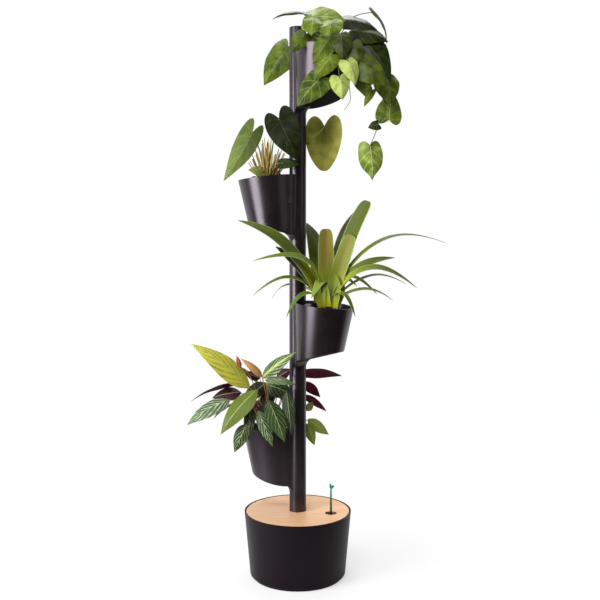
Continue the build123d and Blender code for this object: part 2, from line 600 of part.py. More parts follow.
BROAD_LEAVES = (
    ((-40, -30, 150), (-125, -60, 0), 78, 16, (-0.4, -1, 0.4)),
    ((40, -60, 170), (95, -80, 55), 98, 10, (0, -1, 0.1)),
    ((45, -60, 52), (102, -56, 50), 34, 6, (0, -0.6, 1)),
    ((-20, -95, 40), (-58, -108, 46), 34, 5, (0, -1, 0.5)),
    ((5, 72, 52), (0, 130, -28), 70, 18, (0, 1, 0.7)),
    ((-45, 60, 70), (-85, 112, 10), 66, 14, (-0.4, 0.8, 0.7)),
)
BEHIND_POST_LEAF = ((183, 12, 165), (181, 2, 40), 108, 10, (0, -1, 0.1))
BEHIND_POST_STEM = (100, 50, 110)

STRAP_LEAVES = (
    ((-15, -15, 40), (-250, -85, 255), 32, 60, (0.3, 0, 1)),
    ((-15, -15, 40), (-200, -105, 140), 21, 84, (0.2, 0, 1)),
    ((-18, -15, 30), (-205, -65, 50), 14, 62, (0, 0, 1)),
    ((-13, -19, 34), (-115, -78, -6), 14, 46, (0, -0.2, 1)),
    ((-10, 8, 25), (-42, 74, 275), 40, -14, (-0.6, 1, 0.2)),
    ((5, -12, 25), (5, -25, 240), 44, 10, (0, -1, 0.2)),
    ((12, 8, 25), (75, 25, 305), 28, 12, (-0.4, -1, 0.4)),
    ((18, -12, 25), (75, -35, 215), 42, 12, (-0.3, -1, 0.3)),
    ((18, -3, 25), (130, -5, 330), 38, 24, (-0.6, -1, 0.4)),
    ((22, 2, 30), (355, 5, 200), 17, 100, (-0.3, 0, 1)),
    ((22, -8, 30), (195, -45, 165), 24, 42, (-0.4, -0.3, 1)),
    ((22, -14, 30), (265, -55, 70), 21, 90, (0, -0.1, 1)),
    ((24, -2, 28), (235, -15, 105), 12, 40, (-0.2, 0, 1)),
    ((24, -12, 25), (195, -48, 30), 14, 34, (0, 0, 1)),
    ((18, -20, 35), (85, -98, -6), 15, 44, (0.1, -0.2, 1)),
    ((-8, -25, 40), (-40, -85, 42), 25, 52, (-0.2, -0.4, 1)),
    ((0, 18, 30), (-10, 150, 120), 26, 60, (0, 0.3, 1)),
    ((14, 16, 30), (95, 120, 90), 26, 62, (0, 0.3, 1)),
    ((20, 8, 28), (160, 70, 60), 20, 62, (0.1, 0.2, 1)),
)
SIDE_LEAF = ((-15, 60, 44), (-170, 150, 45), 12, 36, (0, 0, 1))

PATTERNED_LEAVES = (
    ((-65, -45, 145), (-240, -85, 285), 74, 18, (0.4, -1, 0.7)),
    ((-25, -85, 180), (78, -122, 262), 40, 10, (-0.3, -1, 0.6)),
    ((-25, -75, 180), (-90, -85, 240), 24, 14, (0.2, -1, 0.3)),
    ((-85, -65, 190), (-105, -70, 245), 16, 4, FRONT),
    ((-95, -45, 155), (-245, -65, 105), 36, 14, (0, 0.25, 1)),
    ((-125, -65, 110), (-250, -105, 40), 62, 16, (-0.2, -0.8, 0.9)),
    ((-40, -95, 145), (-145, -145, 20), 66, 18, (-0.3, -1, 0.6)),
    ((-70, -115, 45), (-105, -142, -35), 45, 8, FRONT),
    ((-35, -112, 85), (10, -138, -20), 40, 8, FRONT),
    ((-5, -108, 115), (45, -138, -5), 60, 10, (0.2, -1, 0.4)),
    ((50, -92, 140), (65, -118, 10), 40, 8, FRONT),
    ((-15, -95, 175), (80, -108, 160), 48, 12, UPWARD),
    ((80, 15, 180), (225, 15, 175), 42, 10, (0, 0.9, 0.6)),
    ((100, 12, 155), (155, 18, 105), 36, 6, (0, 1, 0.6)),
    ((100, 10, 115), (175, 18, 60), 28, 6, (0, 1, 0.6)),
    ((112, 14, 62), (132, 20, 92), 24, 3, FRONT),
    ((115, 14, 35), (182, 14, -15), 36, 6, FRONT),
    ((112, 14, 22), (136, 10, -48), 34, 6, FRONT),
    ((-60, -88, 95), (-65, -124, -5), 36, 8, FRONT),
    ((-40, 40, 140), (-120, 110, 190), 60, 16, (0, 0.6, 1)),
    ((20, 55, 120), (60, 130, 60), 58, 14, (0.3, 0.8, 0.8)),
    ((-30, 70, 90), (-60, 132, 10), 56, 14, (-0.2, 0.9, 0.7)),
    ((-100, 20, 90), (-190, 50, 30), 54, 14, (-0.6, 0.3, 0.9)),
)


def skin(rings):
    """A closed solid over rings of points that all have the same number of points.

    Every other side is split by its other diagonal, so a blade's two faces are creased along the same lines.
    """
    count = len(rings[0])
    corners = []
    for low, high in zip(rings, rings[1:]):
        for k in range(count):
            after = (k + 1) % count
            if k % 2:
                corners.append((low[k], low[after], high[k]))
                corners.append((low[after], high[after], high[k]))
            else:
                corners.append((low[k], low[after], high[after]))
                corners.append((low[k], high[after], high[k]))
    for end in (rings[0], rings[-1]):
        for k in range(count - 2):
            corners.append((end[count - 1], end[k], end[k + 1]))
    faces = [Face(Wire.make_polygon(three, close=True)) for three in corners]
    return Solid(Shell(faces))


def leaf_axes(row):
    """A leaf's length, the way it points, the way it faces and the way it spreads."""
    base, tip, width, bow, facing = row
    along = Vector(*tip) - Vector(*base)
    ahead = along.normalized()
    hint = Vector(*facing)
    up = (hint - ahead * hint.dot(ahead)).normalized()
    return along.length, ahead, up, ahead.cross(up)


def leaf_rib(crown, row, share):
    """A point on a leaf's midrib, at a share of the way from base to tip."""
    length, ahead, up, side = leaf_axes(row)
    bow = row[3]
    return crown + Vector(*row[0]) + ahead * (length * share) + up * (4 * bow * share * (1 - share))


def leaf_solid(crown, row, outline):
    """One leaf: a thin blade with a raised midrib along a bowed line from base to tip."""
    length, ahead, up, side = leaf_axes(row)
    width = row[2]
    thick = up * (LEAF_THICKNESS / 2)
    rings = []
    for rib_t, edge_t, half in outline:
        rib = leaf_rib(crown, row, rib_t)
        edge = rib + ahead * (length * (edge_t - rib_t)) - up * (half * width * LEAF_FOLD)
        reach = side * max(half * width, LEAF_THICKNESS / 2)
        rings.append((edge - reach, rib + thick, edge + reach, rib - thick))
    return skin(rings)


def stem_solid(points, low_r, high_r):
    """A tapered stem with flat sides through a row of points."""
    rings = []
    last = len(points) - 1
    for n, point in enumerate(points):
        ahead = (points[min(n + 1, last)] - points[max(n - 1, 0)]).normalized()
        level = Vector(0, 0, 1).cross(ahead)
        level = level.normalized() if level.length > 0.05 else Vector(1, 0, 0)
        up = ahead.cross(level)
        radius = low_r + (high_r - low_r) * n / last
        ring = []
        for k in range(STEM_SIDES):
            angle = 2 * pi * k / STEM_SIDES
            ring.append(point + level * (radius * cos(angle)) + up * (radius * sin(angle)))
        rings.append(ring)
    return skin(rings)


def root_point(crown, number):
    """Where a stem leaves the foot of its plant."""
    angle = radians(ROOT_TURN * number)
    return crown + Vector(ROOT_R * cos(angle), ROOT_R * sin(angle), CROWN_DEPTH)


def leaf_end(crown, row):
    """Where a stem ends, a little inside its leaf."""
    return leaf_rib(crown, row, STEM_INTO_LEAF / leaf_axes(row)[0])


def leaf_stem(crown, number, row, via=None):
    """A leaf's stem, over the pot's rim or by a given point."""
    base = Vector(*row[0])
    over_rim = SOIL_BELOW_RIM + 4
    middle = Vector(base.X * 0.45, base.Y * 0.45, max(base.Z * 0.5 + 20, over_rim))
    last = Vector(base.X * 0.93, base.Y * 0.93, max(base.Z - 8, over_rim))
    if via:
        middle = Vector(*via)
        last = (middle + base) * 0.5
    points = [root_point(crown, number), crown + middle, crown + last, leaf_end(crown, row)]
    return stem_solid(points, STEM_R, STEM_R * 0.8)


def crown_solid(crown, low_r, high_r, height):
    """The foot of a plant, part of it in the soil."""
    rings = []
    for z, radius in ((-CROWN_DEPTH, low_r), (0, low_r), (height, high_r)):
        ring = []
        for k in range(CROWN_SIDES):
            angle = 2 * pi * (k + 0.5) / CROWN_SIDES
            ring.append(crown + Vector(radius * cos(angle), radius * sin(angle), z))
        rings.append(ring)
    return skin(rings)


def leafy(crown, rows, outline):
    """Leaves on stems from one crown."""
    pieces = []
    for number, row in enumerate(rows):
        pieces.append(leaf_solid(crown, row, outline))
        pieces.append(leaf_stem(crown, number, row))
    return pieces


def trailing_plant(crown):
    """Heart leaves on stems, the last of them on a vine over the rim."""
    vine = [crown + Vector(*point) for point in VINE]
    pieces = [crown_solid(crown, 9, 6, 20), stem_solid(vine, STEM_R, STEM_R)]
    pieces += leafy(crown, TRAILING_LEAVES, HEART)
    pieces.append(leaf_solid(crown, BESIDE_POST_LEAF, HEART))
    pieces.append(leaf_stem(crown, len(pieces), BESIDE_POST_LEAF, BESIDE_POST_STEM))
    for joint, row in VINE_LEAVES:
        pieces.append(leaf_solid(crown, row, HEART))
        pieces.append(stem_solid([vine[joint], leaf_end(crown, row)], STEM_R, STEM_R * 0.8))
    return Compound(pieces)


def broad_plant(crown):
    """Large heart leaves around a tuft of cut stems."""
    pieces = [crown_solid(crown, 16, 12, 24)] + leafy(crown, BROAD_LEAVES, HEART)
    pieces.append(leaf_solid(crown, BEHIND_POST_LEAF, HEART))
    pieces.append(leaf_stem(crown, len(pieces), BEHIND_POST_LEAF, BEHIND_POST_STEM))
    for number in range(CUT_STEMS):
        share = (number + 0.5) / CUT_STEMS
        angle = radians(ROOT_TURN * number)
        lean = radians(CUT_STEM_LEAN * share)
        length = CUT_STEM_LENGTH * (1 - 0.45 * share + 0.12 * sin(5.0 * number))
        foot = crown + Vector(13 * share * cos(angle), 13 * share * sin(angle), CROWN_DEPTH)
        head = foot + Vector(sin(lean) * cos(angle), sin(lean) * sin(angle), cos(lean)) * length
        pieces.append(stem_solid([foot, (foot + head) * 0.5, head], CUT_STEM_R, CUT_STEM_R * 0.4))
    return Compound(pieces)


def strap_plant(crown):
    """A rosette of long arching leaves."""
    pieces = [crown_solid(crown, 18, 24, 40)]
    for row in STRAP_LEAVES:
        pieces.append(leaf_solid(crown, row, STRAP))
    pieces.append(leaf_solid(crown, SIDE_LEAF, STRAP))
    pieces.append(leaf_stem(crown, 0, SIDE_LEAF, (-6, 26, 36)))
    return Compound(pieces)


def patterned_plant(crown):
    """A bush of oval leaves on stems."""
    return Compound([crown_solid(crown, 12, 8, 24)] + leafy(crown, PATTERNED_LEAVES, OVAL))


nodes = {}
nodes["tank"] = tank()
nodes["lid_panel"] = lid_panel()
nodes["fill_well"] = fill_well()
nodes["level_float"] = level_float()
nodes["level_stick"] = level_stick()
nodes["post_base"] = post_base()
nodes["riser_elbow"] = riser_elbow()
nodes["pump_body"] = pump_body()
nodes["pump_cover"] = pump_cover()
nodes["impeller"] = impeller()
nodes["pump_hose"] = pump_hose()
nodes["power_socket"] = power_socket()
nodes["socket_nut"] = socket_nut()
nodes["pump_cable"] = pump_cable()
nodes["top_cap"] = top_cap()
for number, place in enumerate(screw_places(), 1):
    nodes[f"base_screw_{number}"] = base_screw(place)
for n, heading in POT_HEADINGS.items():
    where = Pos(0, 0, module_seam(n)) * Rot(0, 0, heading)
    nodes[f"pot_{n}"] = where * pot_module()
    nodes[f"seal_ring_{n}"] = where * seal_ring()
    nodes[f"strainer_{n}"] = where * strainer()
    nodes[f"riser_{n}"] = where * riser()
    nodes[f"dripper_{n}"] = where * dripper()
    nodes[f"soil_{n}"] = where * soil()
nodes["riser_plug"] = Pos(0, 0, module_seam(1)) * riser_plug()
nodes["plant_1"] = trailing_plant(crown_point(1))
nodes["plant_2"] = broad_plant(crown_point(2))
nodes["plant_3"] = strap_plant(crown_point(3))
nodes["plant_4"] = patterned_plant(crown_point(4))

os.makedirs("parts", exist_ok=True)
for name, shape in nodes.items():
    export_step(shape, f"parts/{name}.step")
    print(name, len(shape.solids()), round(shape.volume / 1000, 2), "cm3", shape.is_valid)
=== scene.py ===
import math
import random

import bmesh
import bpy
from mathutils import Matrix, Vector


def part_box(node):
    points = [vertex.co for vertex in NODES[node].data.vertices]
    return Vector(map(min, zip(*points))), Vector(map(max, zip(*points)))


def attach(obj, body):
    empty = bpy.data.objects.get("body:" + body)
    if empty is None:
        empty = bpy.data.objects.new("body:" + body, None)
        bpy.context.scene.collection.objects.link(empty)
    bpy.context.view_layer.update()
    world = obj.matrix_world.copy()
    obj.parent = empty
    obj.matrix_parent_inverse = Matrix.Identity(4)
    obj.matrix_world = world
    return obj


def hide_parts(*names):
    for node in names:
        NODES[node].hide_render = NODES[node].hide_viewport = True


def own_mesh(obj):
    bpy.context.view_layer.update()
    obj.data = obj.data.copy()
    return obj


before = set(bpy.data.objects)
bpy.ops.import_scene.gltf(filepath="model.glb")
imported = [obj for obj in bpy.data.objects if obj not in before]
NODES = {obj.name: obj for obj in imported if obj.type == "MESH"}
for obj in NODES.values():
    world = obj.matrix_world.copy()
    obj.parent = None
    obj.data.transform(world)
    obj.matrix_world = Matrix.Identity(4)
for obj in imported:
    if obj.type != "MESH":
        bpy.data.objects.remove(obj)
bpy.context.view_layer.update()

MM = 0.001

# Where the plants stand in their pots: the way each pot points and how far out its plant grows
POT_HEADINGS = {1: -30, 2: 180, 3: -30, 4: 152}
PLANT_OUT = 94.5 * MM
GOLDEN_TURN = math.radians(137.5)
# A pot turned half round comes over the plant below it, which then presses down to this share of its height;
# this script reads only which plants these are and gives each its own mesh
FOLDS = {2: ("pot_1_turn", 0.9), 3: ("pot_2_turn", 0.62), 4: ("pot_3_turn", 0.72)}

# Photograph's view: a camera in front of the post, turned down a little
CAMERA_BACK = 2711 * MM
CAMERA_HEIGHT = 1040 * MM
CAMERA_ASIDE = 7 * MM
FRAME_PIXELS = 600
FOCAL_PIXELS = 879.3
SHIFT_PIXELS = -36
CAMERA_TILT = math.radians(1.57)
SENSOR = 36

# Soft boxes: name, place, target, width and height in metres, and power
SOFT_BOXES = (
    ("left_soft_box", (-1.86, -1.34, 1.1), (0, 0, 1.1), 1.3, 2.1, 92),
    ("right_soft_box", (2.4, -1.2, 1.2), (0, 0, 0.9), 1.8, 2.0, 5),
    ("top_soft_box", (0.1, 0.7, 3.0), (0, 0, 0.8), 1.4, 1.2, 34),
    ("front_soft_box", (-0.5, -2.2, 2.9), (0, 0, 0.7), 1.2, 0.8, 44),
)
FLOOR_SIZE = 30

# Leaf rows: foot and tip in mm from the plant's foot, width, bow, facing, tone and pattern strength
FRONT = (0, -1, 0.3)
UPWARD = (0, -0.5, 1)

TRAILING_LEAVES = (
    ((-60, -14, 122), (-158, -20, 101), 46, 10, (0, -0.2, 1), 0.1, 0.1),
    ((-50, -30, 102), (61, -45, 88), 92, 12, (0, -1, 0.5), 0.68, 0.5),
    ((-36, -58, 95), (-42, -88, 36), 62, 8, FRONT, 0.55, 0.3),
    ((16, -68, 84), (6, -104, 12), 76, 10, FRONT, 0.58, 0.3),
    ((-61, -58, 46), (-102, -80, -13), 52, 8, (0.3, -1, 0.3), 0.45, 0.15),
    ((13, -106, 26), (-38, -114, -52), 66, 8, (-0.1, -1, 0.3), 0.45, 0.2),
    ((43, -104, 36), (48, -124, -41), 62, 8, FRONT, 0.26, 0.15),
    ((19, -118, -27), (-35, -116, -98), 62, 8, FRONT, 0.55, 0.25),
    ((-15, -106, -89), (-84, -88, -170), 80, 8, (-0.2, -1, 0.3), 0.42, 0.3),
    ((62, -122, -45), (84, -132, -115), 56, 8, (0.2, -1, 0.3), 0.98, 1.0),
    ((38, -130, -93), (48, -126, -157), 58, 8, FRONT, 0.9, 1.0),
    ((92, -98, -41), (187, -98, -114), 94, 12, (0.1, -1, 0.3), 0.45, 0.12),
    ((113, -50, 30), (194, -54, -86), 104, 14, (0.2, -1, 0.2), 0.17, 0.1),
    ((80, -88, 16), (94, -104, -55), 60, 8, (0.2, -1, 0.4), 0.42, 0.15),
    ((53, -20, 99), (163, -24, 61), 76, 14, (0.1, -1, 0.8), 0.05, 0.1),
    ((83, -40, 59), (188, -40, 29), 84, 14, (0.1, -1, 0.6), 0.12, 0.1),
    ((149, 5, 130), (187, 12, 29), 40, 14, (1, 0, 0.4), 0.1, 0.1),
    ((137, -75, -120), (112, -80, -170), 24, 4, FRONT, 0.55, 0.1),
    ((20, 60, 62), (29, 125, 5), 72, 14, (0, 0.8, 1), 0.5, 0.3),
    ((75, 40, 74), (129, 95, 28), 70, 12, (0.4, 0.7, 1), 0.4, 0.3),
    ((-30, 80, 84), (-55, 140, 27), 66, 12, (-0.3, 0.8, 1), 0.55, 0.3),
    ((30, 102, -22), (39, 118, -103), 66, 8, (0, 1, 0.3), 0.45, 0.3),
    ((110, 60, -38), (134, 80, -120), 68, 8, (0.6, 1, 0.3), 0.6, 0.3),
)
BESIDE_POST_LEAF = ((-112, 105, 47), (-188, 95, -76), 96, 10, (-0.1, -1, 0.3), 0.47, 0.15)
BESIDE_POST_BENDS = ((-20, 40, 64), (-45, 75, 60))
VINE = ((6, 0, 12), (71, -18, 57), (141, -35, 7), (177, -25, -110), (166, -15, -209), (136, -10, -276))
TENDRIL = ((64, -122, -100), (72, -128, -148), (66, -128, -170), (52, -126, -186))
VINE_LEAVES = (
    (3, ((183, -25, -73), (194, -32, -155), 84, 8, (0.3, -1, 0.3), 0.5, 0.3)),
    (4, ((193, -15, -199), (202, -30, -117), 80, -8, (0.2, -1, 0.2), 0.62, 0.5)),
    (4, ((161, -18, -213), (129, -18, -223), 32, 4, FRONT, 0.15, 0.2)),
    (5, ((136, -10, -274), (143, -10, -380), 76, 10, (0.1, -1, 0.2), 0.72, 0.9)),
)

BROAD_LEAVES = (
    ((-42, -34, 156), (-128, -60, 6), 72, 18, (0.45, -1, 0.3), 0.63, 0.6),
    ((38, -62, 194), (96, -82, 64), 100, 10, (-0.1, -1, 0.0), 0.03, 0.06),
    ((45, -60, 60), (104, -60, 56), 40, 6, (0, -1, 0.6), 0.2, 0.1),
    ((-12, -42, 35), (-55, -54, 40), 38, 5, (0, -1, 0.5), 0.72, 0.1),
    ((6, 72, 36), (1, 128, -51), 76, 16, (0, 1, 0.5), 0.4, 0.3),
    ((-33, 66, 16), (-61, 112, -66), 70, 14, (-0.3, 0.9, 0.4), 0.55, 0.3),
)
BEHIND_POST_LEAF = ((178, 58, 186), (176, 48, 45), 116, 12, (-0.1, -1, 0.15), 0.97, 0.06)
BEHIND_POST_BENDS = ((60, 45, 70), (108, 46, 116), (130, 12, 135), (160, 10, 158))
CUT_STEMS = 64
CUT_STEM_LENGTH = 124
CUT_STEM_LEAN = math.radians(36)
CUT_STEM_SPREAD = 20
CUT_STEM_R = 2.6
CUT_STEM_TAPER = 0.5
CUT_STEM_SHORTER = 0.4
CUT_STEM_UNEVEN = 0.14

STRAP_LEAVES = (
    ((-15, -15, 36), (-228, -92, 291), 50, 36, (0.3, -0.8, 0.9), 0.42, 0.1),
    ((-15, -18, 36), (-199, -105, 169), 30, 80, (0.2, -0.6, 1), 0.6, 0.1),
    ((-18, -15, 30), (-206, -65, 75), 18, 60, (0, -0.5, 1), 0.4, 0.0),
    ((-13, -19, 34), (-115, -78, 3), 17, 46, (0, -0.6, 1), 0.4, 0.0),
    ((-10, 8, 25), (-44, 74, 277), 62, 14, (0.5, -1, -0.2), 0.06, 0.1),
    ((12, 8, 25), (75, 25, 310), 34, 12, (-0.4, -1, 0.4), 0.05, 0.1),
    ((22, 2, 30), (353, 5, 238), 22, 90, (-0.3, -0.5, 1), 0.35, 0.0),
    ((22, -8, 30), (197, -45, 174), 32, 40, (-0.4, -0.8, 0.9), 0.4, 0.1),
    ((22, -14, 30), (265, -55, 97), 30, 84, (0, -0.6, 1), 0.55, 0.1),
    ((24, -2, 28), (236, -15, 112), 15, 40, (-0.2, -0.5, 1), 0.3, 0.0),
    ((24, -12, 25), (197, -48, 56), 20, 34, (0, -0.6, 1), 0.5, 0.0),
    ((18, -20, 35), (87, -98, 4), 19, 44, (0.1, -0.6, 1), 0.6, 0.0),
    ((-8, -25, 40), (-40, -85, 52), 32, 50, (-0.2, -0.8, 1), 0.8, 0.0),
    ((0, 18, 30), (-10, 150, 118), 34, 60, (0, 0.5, 1), 0.4, 0.1),
    ((14, 16, 30), (94, 120, 90), 32, 62, (0, 0.5, 1), 0.5, 0.1),
    ((20, 8, 28), (160, 70, 62), 26, 62, (0.1, 0.4, 1), 0.45, 0.1),
    ((-15, 60, 44), (-169, 150, 43), 15, 36, (0, -0.4, 1), 0.3, 0.0),
)
INNER_STRAP_LEAVES = (
    ((0, -30, 16), (-15, -45, 104), 46, 8, (-0.2, -1, 0.2), 1.0, 0.0),
    ((16, -32, 16), (30, -46, 112), 46, 8, (0.1, -1, 0.2), 1.0, 0.0),
    ((24, -26, 16), (52, -40, 98), 38, 8, (0.3, -1, 0.2), 0.9, 0.0),
    # Painted shade: the last row is a strap lying under the big left strap, and its low tone, 0.1, paints the
    # shade it lies in.
    ((-14, -5, 30), (-146, -52, 198), 46, 20, (0.3, -0.8, 0.9), 0.1, 0.1),
)
CUT_STRAP_LEAVES = (
    ((3, -14, 20), (3, -25, 250), 48, 10, (0, -1, 0.2), 0.85, 1.0),
    ((16, -14, 20), (79, -35, 231), 50, 12, (-0.3, -1, 0.3), 0.8, 0.45),
    ((18, -3, 25), (129, -5, 335), 48, 22, (-0.6, -1, 0.4), 0.4, 0.1),
)
SIDE_STRAP_STEM = ((0, 0, 6), (-6, 26, 41), (-15, 60, 47))

PATTERNED_LEAVES = (
    ((-65, -45, 149), (-241, -85, 290), 76, 18, (0.4, -1, 0.7), 0.8, 0.7),
    ((-25, -85, 185), (78, -122, 268), 46, 10, (-0.3, -1, 0.6), 0.3, 1.7),
    ((-25, -75, 185), (-91, -85, 245), 24, 14, (0.2, -1, 0.3), 1.0, 0.2),
    ((-92, -66, 212), (-104, -70, 251), 15, 4, FRONT, 0.95, 0.1),
    ((-95, -45, 162), (-245, -65, 112), 38, 14, (0, 0.5, 1), 0.0, 0.0),
    ((-125, -65, 114), (-252, -105, 45), 62, 16, (-0.2, -0.8, 0.9), 0.6, 1.0),
    ((-40, -95, 150), (-147, -145, 25), 66, 18, (-0.3, -1, 0.6), 0.42, 0.08),
    ((-71, -115, 50), (-106, -142, -30), 45, 8, FRONT, 0.26, 1.0),
    ((-36, -112, 90), (9, -138, -15), 40, 8, FRONT, 0.25, 0.9),
    ((-5, -108, 120), (45, -138, 0), 60, 10, (0.2, -1, 0.4), 0.3, 0.35),
    ((50, -92, 145), (65, -118, 15), 40, 8, FRONT, 0.2, 0.3),
    ((-15, -95, 180), (80, -108, 165), 48, 12, UPWARD, 0.55, 0.6),
    ((80, 15, 182), (224, 15, 177), 42, 10, (0, 0.9, 0.6), 0.3, 0.4),
    ((100, 12, 157), (155, 18, 107), 36, 6, (0, 1, 0.6), 0.3, 0.4),
    ((100, 10, 117), (175, 18, 62), 28, 6, (0, 1, 0.6), 0.3, 0.4),
    ((112, 14, 64), (132, 20, 94), 24, 3, FRONT, 0.7, 0.2),
    ((115, 14, 37), (182, 14, -12), 36, 6, FRONT, 0.7, 0.3),
    ((112, 14, 24), (136, 10, -45), 34, 6, FRONT, 0.7, 0.3),
    ((-60, -88, 100), (-66, -124, 0), 36, 8, FRONT, 0.2, 0.6),
    ((-35, 10, 168), (-85, 4, 188), 30, 6, FRONT, 0.0, 0.0),
    ((-14, -24, 155), (70, -32, 121), 60, 10, (0.1, -1, 0.5), 0.22, 0.3),
    ((18, -10, 173), (64, -8, 200), 36, 6, FRONT, 0.0, 0.0),
    ((-92, -36, 131), (-182, -46, 116), 46, 10, (0, -0.8, 0.6), 0.02, 0.1),
    ((-15, -82, 105), (-24, -104, 10), 52, 8, FRONT, 0.12, 0.2),
    ((-55, -40, 113), (-120, -62, 82), 50, 10, (-0.2, -0.9, 0.5), 0.15, 0.3),
    ((-39, 40, 141), (-118, 110, 188), 60, 16, (0, 0.6, 1), 0.4, 0.9),
    ((21, 55, 121), (60, 130, 59), 58, 14, (0.3, 0.8, 0.8), 0.45, 0.7),
    ((-29, 70, 91), (-58, 132, 10), 56, 14, (-0.2, 0.9, 0.7), 0.4, 0.8),
    ((-99, 20, 92), (-188, 50, 32), 54, 14, (-0.6, 0.3, 0.9), 0.55, 0.9),
    ((-16, -4, 156), (-92, -22, 98), 48, 8, FRONT, 0.1, 0.2),
    ((6, 8, 150), (-30, -6, 66), 50, 8, FRONT, 0.12, 0.2),
)

# Leaf outlines: place of the midrib, place of the edge and half width, as shares of length and width
HEART = (
    (0, -0.05, 0.04), (0.02, -0.14, 0.17), (0.05, -0.18, 0.31), (0.12, -0.1, 0.44),
    (0.22, 0.06, 0.5), (0.36, 0.26, 0.5), (0.52, 0.45, 0.45), (0.68, 0.63, 0.35), (0.82, 0.8, 0.21),
    (0.93, 0.92, 0.08), (1, 1, 0.005),
)
DRIP_HEART = (
    (0, -0.05, 0.04), (0.02, -0.12, 0.17), (0.05, -0.14, 0.31), (0.12, -0.06, 0.43),
    (0.24, 0.12, 0.5), (0.4, 0.32, 0.5), (0.55, 0.5, 0.47), (0.68, 0.66, 0.38), (0.78, 0.77, 0.22),
    (0.88, 0.88, 0.08), (1, 1, 0.005),
)
DEEP_HEART = (
    (0, -0.07, 0.04), (0.02, -0.2, 0.15), (0.05, -0.25, 0.29), (0.12, -0.15, 0.44),
    (0.22, 0.03, 0.5), (0.37, 0.24, 0.5), (0.54, 0.45, 0.44), (0.71, 0.65, 0.31),
    (0.85, 0.82, 0.17), (0.94, 0.93, 0.07), (1, 1, 0.005),
)
BLUNT_HEART = (
    (0, -0.07, 0.04), (0.02, -0.2, 0.15), (0.05, -0.25, 0.29), (0.12, -0.16, 0.43),
    (0.22, 0.03, 0.5), (0.37, 0.25, 0.5), (0.54, 0.46, 0.46), (0.71, 0.67, 0.39),
    (0.86, 0.84, 0.28), (0.95, 0.95, 0.17), (1, 1, 0.09),
)
OVAL = (
    (0, 0, 0.04), (0.05, 0.05, 0.17), (0.12, 0.12, 0.33), (0.22, 0.22, 0.45), (0.35, 0.35, 0.5),
    (0.5, 0.5, 0.48), (0.64, 0.64, 0.4), (0.77, 0.77, 0.28), (0.88, 0.88, 0.15), (0.96, 0.96, 0.05),
    (1, 1, 0.005),
)
STRAP = (
    (0, 0, 0.48), (0.1, 0.1, 0.46), (0.2, 0.2, 0.45), (0.32, 0.32, 0.47), (0.45, 0.45, 0.5),
    (0.58, 0.58, 0.49), (0.7, 0.7, 0.44), (0.8, 0.8, 0.36), (0.89, 0.89, 0.25), (0.96, 0.96, 0.12),
    (1, 1, 0.02),
)
CUT_STRAP = (
    (0, 0, 0.46), (0.15, 0.15, 0.43), (0.3, 0.3, 0.43), (0.45, 0.45, 0.46), (0.6, 0.6, 0.5),
    (0.75, 0.75, 0.49), (0.88, 0.88, 0.46), (0.95, 0.95, 0.41), (0.985, 0.98, 0.34), (1, 1, 0.22),
)
LEAF_COLUMNS = 6
LEAF_THICKNESS = 0.8 * MM
LOBE_ROUND = 1.3
SMOOTH_ANGLE = math.radians(50)

# How leaves bend: fold at the midrib, ripple of the edge and droop of the tip, as shares of width and length
HEART_BEND = (0.3, 0.03, 0.1)
BROAD_BEND = (0.2, 0.012, 0.1)
CUPPED_BEND = (-0.42, 0.012, 0.1)
STRAP_BEND = (-0.22, 0.01, 0.7)
CUT_STRAP_BEND = (-0.25, 0.01, 0.05)
INNER_STRAP_BEND = (-0.3, 0.01, 0.1)
PATTERNED_BEND = (0.22, 0.02, 0.1)
# What differs by chance from leaf to leaf
RIPPLES = (1.6, 2.8)
UNEVEN_FOLD = 0.4
ROLL = 0.45
DROOP_SPREAD = (0.5, 1.5)
# How far one edge's ripple lags, and where along the leaf its roll is nil and its droop begins
FAR_EDGE_LAG = 1.4
ROLL_CENTRE = 0.3
DROOP_FROM = 0.6

# Stalks: radii in mm, then the way over the pot's rim, in mm or as a share of the way to the leaf
STEM_R = 1.6
STEM_THIN = 0.8
VINE_R = (2.2, 1.4)
TENDRIL_R = (1.2, 0.7)
VINE_LEAF_R = (1.4, 1.1)
VINE_LEAF_RISE = 4
BROAD_STEM_R = 2.0
SIDE_STRAP_R = (3, 2)
STEM_INTO_LEAF = 4
OVER_RIM = 34
RIM_REACH = 88
LAST_BEND = 0.93
LAST_BEND_DROP = 8
MIDDLE_BEND = 0.45
MIDDLE_BEND_RISE = 20
ROOT_R = 5
ROOT_LIFT = 6

# Crumbs on the soil: number, sizes in mm, tilt, the share that stands out and the drop in metres
CRUMBS = 150
CRUMB_SIZES = (2.2, 6.5)
CRUMB_TILT = 0.5
CRUMB_OUT = 0.2
CRUMB_DROP = 0.02


# Materials

def srgb(code):
    """A colour written as a hex value, in the linear numbers that nodes take."""
    parts = [int(code[k:k + 2], 16) / 255 for k in (1, 3, 5)]
    return [c / 12.92 if c <= 0.04045 else ((c + 0.055) / 1.055) ** 2.4 for c in parts] + [1.0]


def fill_ramp(elements, stops):
    """Gives a colour ramp its stops."""
    while len(elements) < len(stops):
        elements.new(1.0)
    for stop, (place, code) in zip(elements, stops):
        stop.position = place
        stop.color = srgb(code)


def add(tree, kind, inputs=None):
    """The outputs of a new node. Sockets are linked, hex values are colours, small names are properties."""
    made = tree.nodes.new("ShaderNode" + kind)
    for key, value in (inputs or {}).items():
        if isinstance(value, bpy.types.NodeSocket):
            tree.links.new(value, made.inputs[key])
        elif key == "stops":
            fill_ramp(made.color_ramp.elements, value)
        elif isinstance(key, int) or key[0].isupper():
            made.inputs[key].default_value = srgb(value) if isinstance(value, str) else value
        else:
            setattr(made, key, value)
    return made.outputs


def new_material(name):
    """An empty material and its node tree."""
    material = bpy.data.materials.new(name)
    material.use_nodes = True
    material.node_tree.nodes.clear()
    return material, material.node_tree


def surface(tree, inputs):
    """The shader that ends a material."""
    add(tree, "OutputMaterial", {"Surface": add(tree, "BsdfPrincipled", inputs)[0]})


